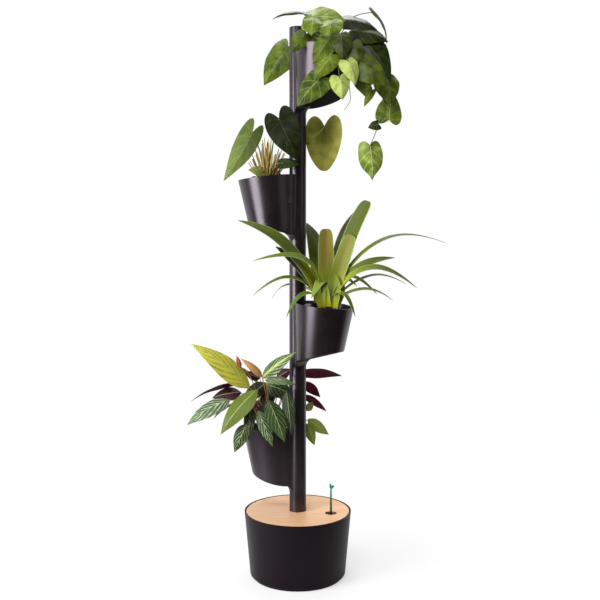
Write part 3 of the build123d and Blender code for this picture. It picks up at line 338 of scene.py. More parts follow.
def own_place(tree):
    """Where a point lies in its piece's own frame."""
    return add(tree, "TexCoord")["Object"]


def upward(tree):
    """How far a face looks up, from -1 to 1."""
    return add(tree, "SeparateXYZ", {0: add(tree, "NewGeometry")["True Normal"]})[2]


def stretched(tree, place, scale):
    """A place with each of its axes scaled."""
    return add(tree, "Mapping", {0: place, "Scale": scale})[0]


def noise(tree, place, size, detail, **settings):
    """Cloudy noise with lumps of one size."""
    return add(tree, "TexNoise", {"Vector": place, "Scale": 1 / size, "Detail": detail, **settings})[0]


def ramp(tree, share, *stops):
    """The colour between stops that a share picks."""
    return add(tree, "ValToRGB", {"Fac": share, "stops": stops})[0]


def scaled(tree, value, start, end, low=0.0, high=1.0, **settings):
    """A number moved from start and end to low and high, and kept between them."""
    limits = {"From Min": start, "From Max": end, "To Min": low, "To Max": high}
    return add(tree, "MapRange", {"Value": value, **limits, **settings})[0]


def calc(tree, operation, *values, **settings):
    """A sum of plain numbers and of other nodes' outputs."""
    return add(tree, "Math", {"operation": operation, **settings, **dict(enumerate(values))})[0]


def blend(tree, share, first, second):
    """A colour that goes over into another by a share."""
    return add(tree, "Mix", {"data_type": "RGBA", 0: share, 6: first, 7: second})[2]


def between(tree, share, first, second):
    """A number that goes over into another by a share."""
    return add(tree, "Mix", {"data_type": "FLOAT", 0: share, 2: first, 3: second})[0]


def bumps(tree, height, strength, depth):
    """A surface that a height raises and sinks."""
    return add(tree, "Bump", {"Height": height, "Strength": strength, "Distance": depth})[0]


def moulded_plastic(name, low, high, rough, shine):
    """Injection-moulded plastic: a satin skin with a fine spark grain, cloudy gloss and a matt underside."""
    material, tree = new_material(name)
    place = own_place(tree)
    cloud = noise(tree, place, 60 * MM, 3.0)
    # The real grain is about 0.2 mm and is drawn at 1.2 mm so that it shows
    grain = noise(tree, place, 1.2 * MM, 1.0)
    gloss = scaled(tree, cloud, 0.0, 1.0, rough - 0.05, rough + 0.07)
    under = scaled(tree, upward(tree), -0.6, -0.9)
    surface(tree, {
        "Base Color": ramp(tree, cloud, (0.3, low), (0.7, high)),
        "Roughness": between(tree, under, gloss, 0.8),
        "Normal": bumps(tree, grain, 0.015, 0.1 * MM),
        "Specular IOR Level": scaled(tree, under, 0.0, 1.0, shine, 0.05),
        "Specular Tint": "#f6e9f8", "IOR": 1.49})
    return material


def oiled_beech():
    """Glued beech strips, oiled: pale warm wood, long soft grain, short flecks, and dark brown on faces that
    turn away from up.
    """
    material, tree = new_material("oiled_beech")
    place = own_place(tree)
    long_grain = stretched(tree, place, (1 / (110 * MM), 1 / (7 * MM), 1 / (7 * MM)))
    # Beech rays are about 0.3 mm wide and are drawn at 1.6 mm so that they show
    short_fleck = stretched(tree, place, (1 / (14 * MM), 1 / (1.6 * MM), 1 / (1.6 * MM)))
    grain = noise(tree, long_grain, 1.0, 4.0, Distortion=0.4)
    fleck = noise(tree, short_fleck, 1.0, 2.0)
    strip = calc(tree, "DIVIDE", add(tree, "SeparateXYZ", {0: place})[1], 42 * MM)
    strip_tone = add(tree, "TexWhiteNoise", {"noise_dimensions": "1D", "W": calc(tree, "FLOOR", strip)})[0]
    colour = ramp(tree, grain, (0.25, "#dca676"), (0.5, "#e8b68a"), (0.75, "#efc39b"))
    flecked = blend(tree, scaled(tree, fleck, 0.62, 0.75, 0.0, 0.22), colour, "#a9713f")
    value = scaled(tree, strip_tone, 0.0, 1.0, 0.96, 1.04)
    toned = add(tree, "HueSaturation", {"Color": flecked, "Value": value})[0]
    # Faces that turn away from up go towards dark brown.
    aside_darkening = scaled(tree, upward(tree), 0.7, 0.4, 0.0, 0.8)
    surface(tree, {
        "Base Color": blend(tree, aside_darkening, toned, "#3f2819"),
        "Normal": bumps(tree, fleck, 0.12, 0.1 * MM),
        "Roughness": 0.4, "IOR": 1.48, "Specular IOR Level": 0.3, "Coat Weight": 0.1, "Coat Roughness": 0.2})
    return material


def tinted_abs():
    """Gloss green ABS with painted light: brighter and bluer towards its top, for light through its thin tip.
    """
    material, tree = new_material("green_abs")
    place = own_place(tree)
    height = add(tree, "SeparateXYZ", {0: place})[2]
    # Painted light: the colour grows brighter and bluer up the stick, standing for light that passes through
    # its thin tip.
    climb = scaled(tree, height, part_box("lid_panel")[1].z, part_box("level_stick")[1].z)
    mixed = calc(tree, "MULTIPLY_ADD", noise(tree, place, 9 * MM, 2.0), 0.2, climb)
    colour = ramp(tree, mixed, (0.1, "#10220c"), (0.6, "#14542a"), (1.0, "#0c8058"))
    surface(tree, {"Base Color": colour, "Roughness": 0.24, "IOR": 1.53})
    return material


def turned_steel():
    """Stainless steel screws: bright metal with a fine turned finish."""
    material, tree = new_material("stainless_steel")
    marks = noise(tree, own_place(tree), 1 * MM, 2.0)
    colour = ramp(tree, marks, (0.3, "#a9aaac"), (0.7, "#c4c5c6"))
    gloss = scaled(tree, marks, 0.0, 1.0, 0.2, 0.38)
    surface(tree, {"Base Color": colour, "Roughness": gloss, "Metallic": 1.0})
    return material


def potting_mix():
    """Damp peat with bark and a few pale grains: matt, lumpy and dark brown, with painted shade that turns
    its hollows nearly black.
    """
    material, tree = new_material("potting_mix")
    place = own_place(tree)
    lumps = noise(tree, place, 9 * MM, 6.0, Roughness=0.65)
    grit = add(tree, "TexVoronoi", {"Vector": place, "Scale": 1 / (5 * MM)})[0]
    # Painted shade: the lumps that raise the bump also pick the colour, so the hollows are darkest; the
    # browns are the peat's own.
    colour = ramp(tree, lumps, (0.3, "#17100b"), (0.55, "#32241a"), (0.75, "#553c29"))
    pale = scaled(tree, grit, 0.1, 0.16, 0.5, 0.0)
    surface(tree, {
        "Base Color": blend(tree, pale, colour, "#8f8068"),
        "Normal": bumps(tree, lumps, 0.9, 2 * MM),
        "Roughness": 0.95, "Specular IOR Level": 0.2})
    return material


def leaf_place(tree):
    """A leaf's own map: the flat place, the distance from the midrib and the place along it."""
    flat = add(tree, "UVMap", {"uv_map": "UVMap"})[0]
    split = add(tree, "SeparateXYZ", {0: flat})
    side = calc(tree, "ABSOLUTE", calc(tree, "SUBTRACT", split[0], 0.5))
    return flat, side, split[1]


def leaf_lines(tree, side, along, veins, rake, rib_width, vein_width):
    """The midrib line, the side vein lines, and the swing from one side vein to the next."""
    climb = calc(tree, "MULTIPLY_ADD", side, -rake, along)
    swing = calc(tree, "PINGPONG", calc(tree, "MULTIPLY", climb, float(veins)), 0.5)
    rib = scaled(tree, side, 0.0, rib_width, 1.0, 0.0, interpolation_type="SMOOTHSTEP")
    vein = scaled(tree, swing, 0.0, vein_width, 1.0, 0.0, interpolation_type="SMOOTHSTEP")
    return rib, vein, swing


def leaf_says(tree, name):
    """A number that each leaf carries."""
    return add(tree, "Attribute", {"attribute_name": name})["Fac"]


def glossy_leaf(name, stops, vein_colour, veins, rake, mottling, sheen):
    """A waxy green leaf: pale sunk veins, a quilted surface between them and a soft mottle."""
    material, tree = new_material(name)
    _, side, along = leaf_place(tree)
    rib, vein, swing = leaf_lines(tree, side, along, veins, rake, 0.022, 0.09)
    mottle = noise(tree, own_place(tree), 26 * MM, 5.0)
    shift = scaled(tree, mottle, 0.25, 0.75, -mottling, mottling)
    green = ramp(tree, calc(tree, "ADD", leaf_says(tree, "tone"), shift), *stops)
    lines = calc(tree, "MAXIMUM", rib, calc(tree, "MULTIPLY", vein, 0.45))
    strength = calc(tree, "MULTIPLY", lines, leaf_says(tree, "pattern"))
    quilt = calc(tree, "SUBTRACT", swing, lines)
    surface(tree, {
        "Base Color": blend(tree, strength, green, vein_colour),
        "Normal": bumps(tree, quilt, 0.35, 1.2 * MM),
        "Roughness": 0.4, "IOR": 1.45, "Specular IOR Level": sheen})
    return material


def strap_leaf():
    """A strap leaf: lime at its foot, then green, with fine long lines, a pale edge and a rusty flush."""
    material, tree = new_material("strap_leaf")
    flat, side, along = leaf_place(tree)
    fibres = noise(tree, stretched(tree, flat, (26.0, 1.6, 1.0)), 1.0, 3.0)
    flush = noise(tree, stretched(tree, flat, (4.0, 1.8, 1.0)), 1.0, 4.0)
    foot = ramp(tree, along, (0.0, "#bcb91c"), (0.25, "#9ea422"), (0.5, "#5c701e"), (1.0, "#42551a"))
    shade = ramp(tree, leaf_says(tree, "tone"), (0.0, "#1e270e"), (0.35, "#425419"), (1.0, "#84933a"))
    green = blend(tree, scaled(tree, along, 0.14, 0.48, 0.0, 0.88), foot, shade)
    line = scaled(tree, fibres, 0.3, 0.7, 0.82, 1.15)
    lined = add(tree, "HueSaturation", {"Color": green, "Value": line})[0]
    edged = blend(tree, scaled(tree, side, 0.45, 0.49, 0.0, 0.45), lined, "#c6d08a")
    blush = scaled(tree, flush, 0.3, 0.6)
    inner = scaled(tree, side, 0.2, 0.48, 0.85, 0.0)
    above = scaled(tree, along, 0.25, 0.5)
    upper = calc(tree, "MULTIPLY", calc(tree, "MULTIPLY", blush, inner), above)
    rust = calc(tree, "MULTIPLY", upper, leaf_says(tree, "pattern"))
    surface(tree, {
        "Base Color": blend(tree, rust, edged, "#87542c"),
        "Normal": bumps(tree, fibres, 0.25, 0.6 * MM),
        "Roughness": 0.44, "IOR": 1.45, "Specular IOR Level": 0.22})
    return material


def patterned_leaf():
    """A painted-looking leaf: thin ragged bars by its side veins, a pale midrib and a stripe on some."""
    material, tree = new_material("patterned_leaf")
    _, side, along = leaf_place(tree)
    rib, _, swing = leaf_lines(tree, side, along, 8, 0.6, 0.03, 0.12)
    place = own_place(tree)
    ragged = noise(tree, place, 5 * MM, 5.0, Roughness=0.65)
    cloud = noise(tree, place, 22 * MM, 2.0)
    tone = leaf_says(tree, "tone")
    pattern = leaf_says(tree, "pattern")
    ground = ramp(
        tree, tone, (0.0, "#35101a"), (0.1, "#1a1f12"), (0.3, "#2b3c1c"), (0.42, "#52611f"),
        (0.6, "#46583a"), (0.72, "#86943a"), (0.8, "#c0bb44"), (0.95, "#8c3b2c"), (1.0, "#a8794a"))
    feather = ramp(
        tree, tone, (0.0, "#521626"), (0.2, "#7f9276"), (0.42, "#8fa04c"), (0.6, "#a9b79a"),
        (0.72, "#a9b04e"), (0.8, "#5f6f1e"), (1.0, "#cfa873"))
    uneven = calc(tree, "MULTIPLY_ADD", ragged, 0.7, swing)
    bars = scaled(tree, uneven, 0.58, 0.8, interpolation_type="SMOOTHSTEP")
    patchy = scaled(tree, cloud, 0.35, 0.6, 0.35, 1.0)
    drawn = calc(tree, "MULTIPLY", calc(tree, "MULTIPLY", bars, patchy), pattern, use_clamp=True)
    painted = blend(tree, drawn, ground, feather)
    middle = scaled(tree, side, 0.0, 0.16, 1.0, 0.0)
    more = calc(tree, "SUBTRACT", pattern, 1.0, use_clamp=True)
    striped = blend(tree, calc(tree, "MULTIPLY", middle, more), painted, "#b7c76c")
    surface(tree, {
        "Base Color": blend(tree, calc(tree, "MULTIPLY", rib, 0.6), striped, "#b9c587"),
        "Normal": bumps(tree, swing, 0.35, 1.2 * MM),
        "Roughness": 0.42, "IOR": 1.45, "Specular IOR Level": 0.22})
    return material


def leaf_underside(name, dark, light, rough):
    """The matt underside of a leaf, with raised veins."""
    material, tree = new_material(name)
    _, side, along = leaf_place(tree)
    rib, vein, _ = leaf_lines(tree, side, along, 8, 0.6, 0.03, 0.1)
    mottle = noise(tree, own_place(tree), 16 * MM, 3.0)
    tone = calc(tree, "MULTIPLY_ADD", leaf_says(tree, "tone"), 0.6, -0.1)
    mixed = calc(tree, "MULTIPLY_ADD", mottle, 0.6, tone)
    surface(tree, {
        "Base Color": ramp(tree, mixed, (0.1, dark), (0.8, light)),
        "Normal": bumps(tree, calc(tree, "MAXIMUM", rib, vein), 0.3, 0.8 * MM),
        "Roughness": rough, "IOR": 1.42, "Specular IOR Level": 0.15})
    return material


def leaf_stalk(name, *stops):
    """Smooth juicy stalks, a little streaky along their length."""
    material, tree = new_material(name)
    stretch = stretched(tree, own_place(tree), (1 / (3 * MM), 1 / (3 * MM), 1 / (25 * MM)))
    shift = scaled(tree, noise(tree, stretch, 1.0, 3.0), 0.0, 1.0, -0.25, 0.25)
    colour = ramp(tree, calc(tree, "ADD", leaf_says(tree, "tone"), shift), *stops)
    surface(tree, {"Base Color": colour, "Roughness": 0.45, "IOR": 1.42})
    return material


# Dressing the frame's own nodes

def dress(material, *names):
    """Gives a finish to nodes of the frame."""
    for name in names:
        for place in NODES[name].material_slots:
            place.material = material


def dress_frame():
    """Every node that keeps its own shape gets its real finish."""
    black = moulded_plastic("black_polypropylene", "#140e10", "#1b1416", 0.28, 0.7)
    matt_black = moulded_plastic("matt_black_polypropylene", "#0c0709", "#110a0e", 0.4, 0.13)
    grey = moulded_plastic("grey_polypropylene", "#6d7073", "#7c7f82", 0.42, 0.3)
    white = moulded_plastic("white_polypropylene", "#d2d1cb", "#e0dfd9", 0.4, 0.3)
    rubber = moulded_plastic("black_rubber", "#141414", "#1c1b1b", 0.62, 0.2)
    dress(matt_black, "tank")
    dress(black, "post_base", "top_cap", "pump_body", "pump_cover", "power_socket", "socket_nut")
    dress(black, *(f"pot_{n}" for n in POT_HEADINGS))
    dress(oiled_beech(), "lid_panel")
    dress(tinted_abs(), "level_stick")
    dress(grey, "fill_well", "riser_elbow", "riser_plug", "impeller")
    dress(grey, *(f"{kind}_{n}" for kind in ("riser", "dripper", "strainer") for n in POT_HEADINGS))
    dress(white, "level_float")
    dress(rubber, "pump_hose", "pump_cable")
    dress(rubber, *(f"seal_ring_{n}" for n in POT_HEADINGS))
    dress(turned_steel(), *(f"base_screw_{k}" for k in (1, 2, 3, 4)))


# Modelling helpers

def deselect():
    """Nothing is selected."""
    bpy.ops.object.select_all(action="DESELECT")


def make_active(piece):
    """Only this piece is selected and active."""
    deselect()
    piece.select_set(True)
    bpy.context.view_layer.objects.active = piece


def apply_modifier(piece, kind, **settings):
    """Adds one modifier to a piece and applies it."""
    make_active(piece)
    modifier = piece.modifiers.new(kind.title(), kind)
    for name, value in settings.items():
        setattr(modifier, name, value)
    bpy.ops.object.modifier_apply(modifier=modifier.name)


def join(pieces, name):
    """Several pieces become one mesh."""
    deselect()
    for piece in pieces:
        piece.select_set(True)
    bpy.context.view_layer.objects.active = pieces[0]
    if len(pieces) > 1:
        bpy.ops.object.join()
    joined = bpy.context.view_layer.objects.active
    joined.name = name
    joined.data.name = name
    return joined


def one_piece(name, pieces, *materials):
    """Several pieces become one mesh with these materials."""
    joined = join(pieces, name)
    joined.data.materials.clear()
    for material in materials:
        joined.data.materials.append(material)
    return joined


def mark(mesh, name, value):
    """Every point of a mesh carries the same number."""
    numbers = mesh.attributes.new(name, "FLOAT", "POINT")
    numbers.data.foreach_set("value", [value] * len(mesh.vertices))


def pick(piece, wanted):
    """In edit mode, selects the points with these numbers."""
    mesh = bmesh.from_edit_mesh(piece.data)
    for vertex in mesh.verts:
        vertex.select_set(vertex.index in wanted)
    mesh.select_flush_mode()
    bmesh.update_edit_mesh(piece.data)


# Leaves

def leaf_blank(name, outline):
    """A flat leaf of unit length and width: a grid whose rows are widened and whose lobes are drawn back."""
    deselect()
    rows = len(outline) - 1
    bpy.ops.mesh.primitive_grid_add(x_subdivisions=LEAF_COLUMNS, y_subdivisions=rows, size=2)
    blank = bpy.context.object
    blank.name = name
    points = LEAF_COLUMNS + 1
    bpy.ops.object.mode_set(mode="EDIT")
    bpy.ops.mesh.select_mode(type="VERT")
    for row, (rib, edge, half) in enumerate(outline):
        first = row * points
        pick(blank, set(range(first, first + points)))
        bpy.ops.transform.resize(value=(half, 1, 1))
        bpy.ops.transform.translate(value=(0, rib - (2 * row / rows - 1), 0))
        if edge == rib:
            continue
        for column in range(LEAF_COLUMNS // 2):
            out = 1 - 2 * column / LEAF_COLUMNS
            pick(blank, {first + column, first + LEAF_COLUMNS - column})
            bpy.ops.transform.translate(value=(0, (edge - rib) * out ** LOBE_ROUND, 0))
    bpy.ops.object.mode_set(mode="OBJECT")
    apply_modifier(blank, "SUBSURF", levels=1, render_levels=1)
    bpy.ops.object.shade_smooth()
    return blank


def leaf_axes(row):
    """A leaf's foot, length, the way it points, the way it faces and the way it spreads, in mm."""
    foot = Vector(row[0])
    along = Vector(row[1]) - foot
    ahead = along.normalized()
    facing = Vector(row[4])
    up = (facing - ahead * facing.dot(ahead)).normalized()
    return foot, along.length, ahead, up, ahead.cross(up)


def lay_leaf(blank, crown, row, bend, chance):
    """A copy of the blank, bent along the leaf's bow, folded at its midrib, rolled and rippled."""
    foot, length, ahead, up, side = leaf_axes(row)
    fold, ripple, droop = bend
    width, bow, tone, pattern = row[2], row[3], row[5], row[6]
    mesh = blank.data.copy()
    waves = chance.uniform(*RIPPLES)
    start = chance.uniform(0, 2 * math.pi)
    lean = chance.uniform(-UNEVEN_FOLD, UNEVEN_FOLD)
    roll = chance.uniform(-ROLL, ROLL)
    sag = droop * length * chance.uniform(*DROOP_SPREAD)
    for vertex in mesh.vertices:
        x, y, _ = vertex.co
        arch = 4 * bow * y * (1 - y) if y > 0 else 3 * bow * y
        lag = FAR_EDGE_LAG if x > 0 else 0
        wave = math.sin(2 * math.pi * waves * y + start + lag) * (2 * x) ** 2
        drop = abs(x) * width * fold * (1 + (lean if x > 0 else -lean))
        turn = roll * (y - ROLL_CENTRE)
        across = side * math.cos(turn) + up * math.sin(turn)
        lift = arch - drop + ripple * width * wave - sag * max(0, y - DROOP_FROM) ** 2
        spot = foot + ahead * (length * y) + across * (x * width) + up * lift
        vertex.co = crown + spot * MM
    mark(mesh, "tone", tone)
    mark(mesh, "pattern", pattern)
    leaf = bpy.data.objects.new("leaf", mesh)
    bpy.context.scene.collection.objects.link(leaf)
    return leaf


def leaf_blades(name, leaves, upper, under):
    """All the leaves of a plant as one piece with a thickness and an underside."""
    blades = one_piece(name, leaves, upper, under)
    apply_modifier(blades, "SOLIDIFY", thickness=LEAF_THICKNESS, offset=-1, material_offset=1)
    make_active(blades)
    bpy.ops.object.shade_smooth_by_angle(angle=SMOOTH_ANGLE)
    return blades


def leaf_rib(row, share):
    """A point on a leaf's bowed midrib, in mm from the plant's foot."""
    foot, length, ahead, up, _ = leaf_axes(row)
    return foot + ahead * (length * share) + up * (4 * row[3] * share * (1 - share))


def stalk(crown, points, thick, thin, tone):
    """A tapered stalk through a row of points. Points and radii are in mm, from the plant's foot."""
    curve = bpy.data.curves.new("stalk", "CURVE")
    curve.dimensions = "3D"
    curve.bevel_depth = MM
    curve.bevel_resolution = 1
    curve.resolution_u = 6
    curve.use_fill_caps = True
    line = curve.splines.new("NURBS")
    line.points.add(len(points) - 1)
    for number, (spot, place) in enumerate(zip(line.points, points)):
        spot.co = (*(crown + Vector(place) * MM), 1)
        spot.radius = thick + (thin - thick) * number / (len(points) - 1)
    line.order_u = 3
    line.use_endpoint_u = True
    piece = bpy.data.objects.new("stalk", curve)
    bpy.context.scene.collection.objects.link(piece)
    make_active(piece)
    bpy.ops.object.convert(target="MESH")
    piece = bpy.context.object
    mark(piece.data, "tone", tone)
    return piece


def leaf_stalk_points(number, row, bends=None):
    """A leaf's stalk from the foot of the plant, over the pot's rim or by given points, into the leaf."""
    foot = Vector(row[0])
    turn = GOLDEN_TURN * number
    root = Vector((ROOT_R * math.cos(turn), ROOT_R * math.sin(turn), ROOT_LIFT))
    middle_height = max(0.5 * foot.z + MIDDLE_BEND_RISE, OVER_RIM)
    middle = Vector((MIDDLE_BEND * foot.x, MIDDLE_BEND * foot.y, middle_height))
    out = min(LAST_BEND, RIM_REACH / foot.xy.length)
    last = Vector((out * foot.x, out * foot.y, max(foot.z - LAST_BEND_DROP, OVER_RIM)))
    into = leaf_rib(row, STEM_INTO_LEAF / leaf_axes(row)[1])
    between = [Vector(bend) for bend in bends] if bends else [middle, last]
    return [root, *between, into]


def stalks_piece(name, pieces, material):
    """All the stalks of a plant as one smooth piece."""
    stalks = one_piece(name, pieces, material)
    make_active(stalks)
    bpy.ops.object.shade_smooth_by_angle(angle=SMOOTH_ANGLE)
    return stalks


def plant_foot(number):
    """Where a plant leaves its soil."""
    heading = math.radians(POT_HEADINGS[number])
    soil_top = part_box(f"soil_{number}")[1].z
    return Vector((PLANT_OUT * math.cos(heading), PLANT_OUT * math.sin(heading), soil_top))


def settle(piece, number):
    """A plant's piece moves with its pot and stands for the plain plant of the frame."""
    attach(piece, f"module_{number}")
    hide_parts(f"plant_{number}")
    if number in FOLDS:
        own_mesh(piece)


def trailing_plant(blank, drip_blank):
    """The top pot's trailing plant: heart leaves over the rim and a long vine."""
    crown = plant_foot(1)
    chance = random.Random(1)
    rows = TRAILING_LEAVES + (BESIDE_POST_LEAF,) + tuple(row for _, row in VINE_LEAVES)
    greens = ((0.0, "#121a06"), (0.35, "#33400b"), (0.65, "#5f7217"), (1.0, "#a6b65c"))
    upper = glossy_leaf("heart_leaf", greens, "#c9d2a0", veins=6, rake=0.5, mottling=0.2, sheen=0.22)
    under = leaf_underside("heart_leaf_underside", "#4a5f22", "#8d9c4c", 0.55)
    leaves = [lay_leaf(blank, crown, row, HEART_BEND, chance) for row in rows[:-1]]
    leaves.append(lay_leaf(drip_blank, crown, rows[-1], HEART_BEND, chance))
    blades = leaf_blades("trailing_plant_leaves", leaves, upper, under)
    stalks = [stalk(crown, leaf_stalk_points(k, row), STEM_R, STEM_R * STEM_THIN, 0.5)
              for k, row in enumerate(TRAILING_LEAVES)]
    beside = leaf_stalk_points(len(stalks), BESIDE_POST_LEAF, BESIDE_POST_BENDS)
    stalks.append(stalk(crown, beside, STEM_R, STEM_R * STEM_THIN, 0.5))
    stalks.append(stalk(crown, VINE, *VINE_R, 0.6))
    stalks.append(stalk(crown, TENDRIL, *TENDRIL_R, 0.4))
    for joint, row in VINE_LEAVES:
        into = leaf_rib(row, STEM_INTO_LEAF / leaf_axes(row)[1])
        middle = (Vector(VINE[joint]) + into) / 2 + Vector((0, 0, VINE_LEAF_RISE))
        stalks.append(stalk(crown, (VINE[joint], middle, into), *VINE_LEAF_R, 0.6))
    vine_stem = leaf_stalk("vine_stem", (0.0, "#26330f"), (0.5, "#4c5a20"), (1.0, "#8a9148"))
    stems = stalks_piece("trailing_plant_stems", stalks, vine_stem)
    settle(blades, 1)
    settle(stems, 1)


def cut_stem_points(number):
    """One old cut stem in the fan at the foot of the large-leaf plant."""
    share = (number + 0.5) / CUT_STEMS
    turn = GOLDEN_TURN * number
    lean = CUT_STEM_LEAN * share
    length = CUT_STEM_LENGTH * (1 - CUT_STEM_SHORTER * share + CUT_STEM_UNEVEN * math.sin(5 * number))
    out = Vector((math.cos(turn), math.sin(turn), 0))
    foot = out * (CUT_STEM_SPREAD * share) + Vector((0, 0, ROOT_LIFT))
    way = out * math.sin(lean) + Vector((0, 0, math.cos(lean)))
    return foot, foot + way * (length * 0.5), foot + way * length


def broad_plant(blank, blunt_blank):
    """The second pot's plant: three large heart leaves, small ones and a fan of old cut stems."""
    crown = plant_foot(2)
    chance = random.Random(2)
    greens = ((0.0, "#111503"), (0.3, "#28340d"), (0.62, "#6b7d42"), (0.8, "#75742c"), (1.0, "#a9a74c"))
    upper = glossy_leaf("broad_leaf", greens, "#a3ae7a", veins=7, rake=0.45, mottling=0.11, sheen=0.07)
    under = leaf_underside("broad_leaf_underside", "#4f6a34", "#8fa35a", 0.5)
    leaves = [lay_leaf(blank, crown, row, BROAD_BEND, chance) for row in BROAD_LEAVES]
    leaves.append(lay_leaf(blunt_blank, crown, BEHIND_POST_LEAF, CUPPED_BEND, chance))
    blades = leaf_blades("broad_plant_leaves", leaves, upper, under)
    stalks = [stalk(crown, leaf_stalk_points(k, row), BROAD_STEM_R, STEM_R, 0.4)
              for k, row in enumerate(BROAD_LEAVES)]
    behind = leaf_stalk_points(len(stalks), BEHIND_POST_LEAF, BEHIND_POST_BENDS)
    # Painted light: this stalk lies in shadow and gets a tone of 0.95, against 0.4 for the other stalks, so
    # it shows pale there; part of the paleness is its own.
    stalks.append(stalk(crown, behind, BROAD_STEM_R, STEM_R, 0.95))
    green_stem = leaf_stalk("broad_leaf_stem", (0.0, "#3f4a1e"), (0.5, "#6f7f36"), (1.0, "#98a352"))
    stems = stalks_piece("broad_plant_stems", stalks, green_stem)
    cut = [stalk(crown, cut_stem_points(k), CUT_STEM_R, CUT_STEM_R * CUT_STEM_TAPER, chance.random())
           for k in range(CUT_STEMS)]
    dry_stem = leaf_stalk("dry_stem", (0.0, "#3e2114"), (0.35, "#8a6434"), (0.7, "#c2a561"), (1.0, "#a3a04a"))
    dry = stalks_piece("broad_plant_cut_stems", cut, dry_stem)
    for piece in (blades, stems, dry):
        settle(piece, 2)


def strap_plant(blank, cut_blank):
    """The third pot's rosette of arching straps."""
    crown = plant_foot(3)
    chance = random.Random(3)
    leaves = [lay_leaf(blank, crown, row, STRAP_BEND, chance) for row in STRAP_LEAVES]
    leaves += [lay_leaf(cut_blank, crown, row, CUT_STRAP_BEND, chance) for row in CUT_STRAP_LEAVES]
    leaves += [lay_leaf(blank, crown, row, INNER_STRAP_BEND, chance) for row in INNER_STRAP_LEAVES]
    under = leaf_underside("strap_leaf_underside", "#566a24", "#98a548", 0.45)
    blades = leaf_blades("strap_plant_leaves", leaves, strap_leaf(), under)
    stalks = [stalk(crown, SIDE_STRAP_STEM, *SIDE_STRAP_R, 0.4)]
    green_stem = leaf_stalk("strap_leaf_stem", (0.0, "#5f7a2c"), (1.0, "#a9b74a"))
    stem = stalks_piece("strap_plant_stem", stalks, green_stem)
    settle(blades, 3)
    settle(stem, 3)


def patterned_plant(blank):
    """The lowest pot's plant: large patterned leaves with wine-red undersides."""
    crown = plant_foot(4)
    chance = random.Random(4)
    leaves = [lay_leaf(blank, crown, row, PATTERNED_BEND, chance) for row in PATTERNED_LEAVES]
    under = leaf_underside("patterned_leaf_underside", "#3a0f1c", "#6d2338", 0.5)
    blades = leaf_blades("patterned_plant_leaves", leaves, patterned_leaf(), under)
    stalks = [stalk(crown, leaf_stalk_points(k, row), STEM_R, STEM_R * STEM_THIN, chance.random())
              for k, row in enumerate(PATTERNED_LEAVES)]
    red_stem = leaf_stalk("patterned_leaf_stem", (0.0, "#4a1a1f"), (0.5, "#8c6a3a"), (1.0, "#a5793f"))
    stems = stalks_piece("patterned_plant_stems", stalks, red_stem)
    settle(blades, 4)
    settle(stems, 4)


# Soil

def crumb_blank():
    """One lump of bark: a small ball, flattened and cut off on one side."""
    deselect()
    bpy.ops.mesh.primitive_ico_sphere_add(subdivisions=1, radius=1)
    crumb = bpy.context.object
    bpy.ops.object.mode_set(mode="EDIT")
    bpy.ops.transform.resize(value=(1.0, 0.75, 0.5))
    bpy.ops.mesh.bisect(plane_co=(0.55, 0.1, 0), plane_no=(1, 0.3, 0.2), clear_outer=True, use_fill=True)
    bpy.ops.object.mode_set(mode="OBJECT")
    return crumb


def soil_crumbs(number, blank, material):
    """Loose lumps on top of the soil of one pot."""
    chance = random.Random(10 + number)
    soil = NODES[f"soil_{number}"]
    low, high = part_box(f"soil_{number}")
    crumbs = []
    while len(crumbs) < CRUMBS:
        spot = Vector((chance.uniform(low.x, high.x), chance.uniform(low.y, high.y), high.z + CRUMB_DROP))
        hit, place = soil.ray_cast(spot, Vector((0, 0, -1)))[:2]
        size = chance.uniform(*CRUMB_SIZES) * MM
        heading = Matrix.Rotation(chance.uniform(0, 2 * math.pi), 4, "Z")
        turn = heading @ Matrix.Rotation(chance.uniform(-CRUMB_TILT, CRUMB_TILT), 4, "X")
        if not hit or place.z < high.z - MM:
            continue
        mesh = blank.data.copy()
        rest = place + Vector((0, 0, size * CRUMB_OUT))
        mesh.transform(Matrix.Translation(rest) @ turn @ Matrix.Scale(size, 4))
        crumb = bpy.data.objects.new("crumb", mesh)
        bpy.context.scene.collection.objects.link(crumb)
        crumbs.append(crumb)
    layer = one_piece(f"soil_crumbs_{number}", crumbs, material)
    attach(layer, f"module_{number}")


# Studio

def white_floor():
    """White paper that keeps the shadow, plain white to the eye all round; further out it is painted dark
    grey, a painted shade that the camera never sees but the black plastic reflects.
    """
    deselect()
    bpy.ops.mesh.primitive_plane_add(size=FLOOR_SIZE)
    floor = bpy.context.object
    floor.name = "studio_floor"
    material, tree = new_material("white_paper_floor")
    place = own_place(tree)
    away = add(tree, "VectorMath", {"operation": "LENGTH", 0: place})["Value"]
    fade = scaled(tree, away, 0.15, 0.6, 0.55, 1.0)
    depth = add(tree, "SeparateXYZ", {0: place})[1]
    seen = add(tree, "LightPath")
    mirrored = calc(tree, "MULTIPLY", seen["Is Glossy Ray"], scaled(tree, depth, 0.2, 0.8))
    ray = calc(tree, "MAXIMUM", seen["Is Camera Ray"], mirrored)
    share = calc(tree, "MULTIPLY", ray, fade)
    # Painted shade: further out, past about 0.6 m round and 0.45 m in front, the paper darkens to dark grey.
    # The camera sees plain white there; reflections of the floor in front and bounced light meet the dark.
    near = scaled(tree, depth, -1.0, -0.45)
    close = scaled(tree, away, 1.1, 0.62)
    paper_with_painted_dark = ramp(tree, calc(tree, "MULTIPLY", near, close), (0.0, "#3c3a3b"), (1.0, "#f4f3f3"))
    paper = add(tree, "BsdfDiffuse", {"Color": paper_with_painted_dark})[0]
    plain = add(tree, "Emission", {"Color": "#ffffff", "Strength": 1.0})[0]
    add(tree, "OutputMaterial", {"Surface": add(tree, "MixShader", {0: share, 1: paper, 2: plain})[0]})
    floor.data.materials.append(material)


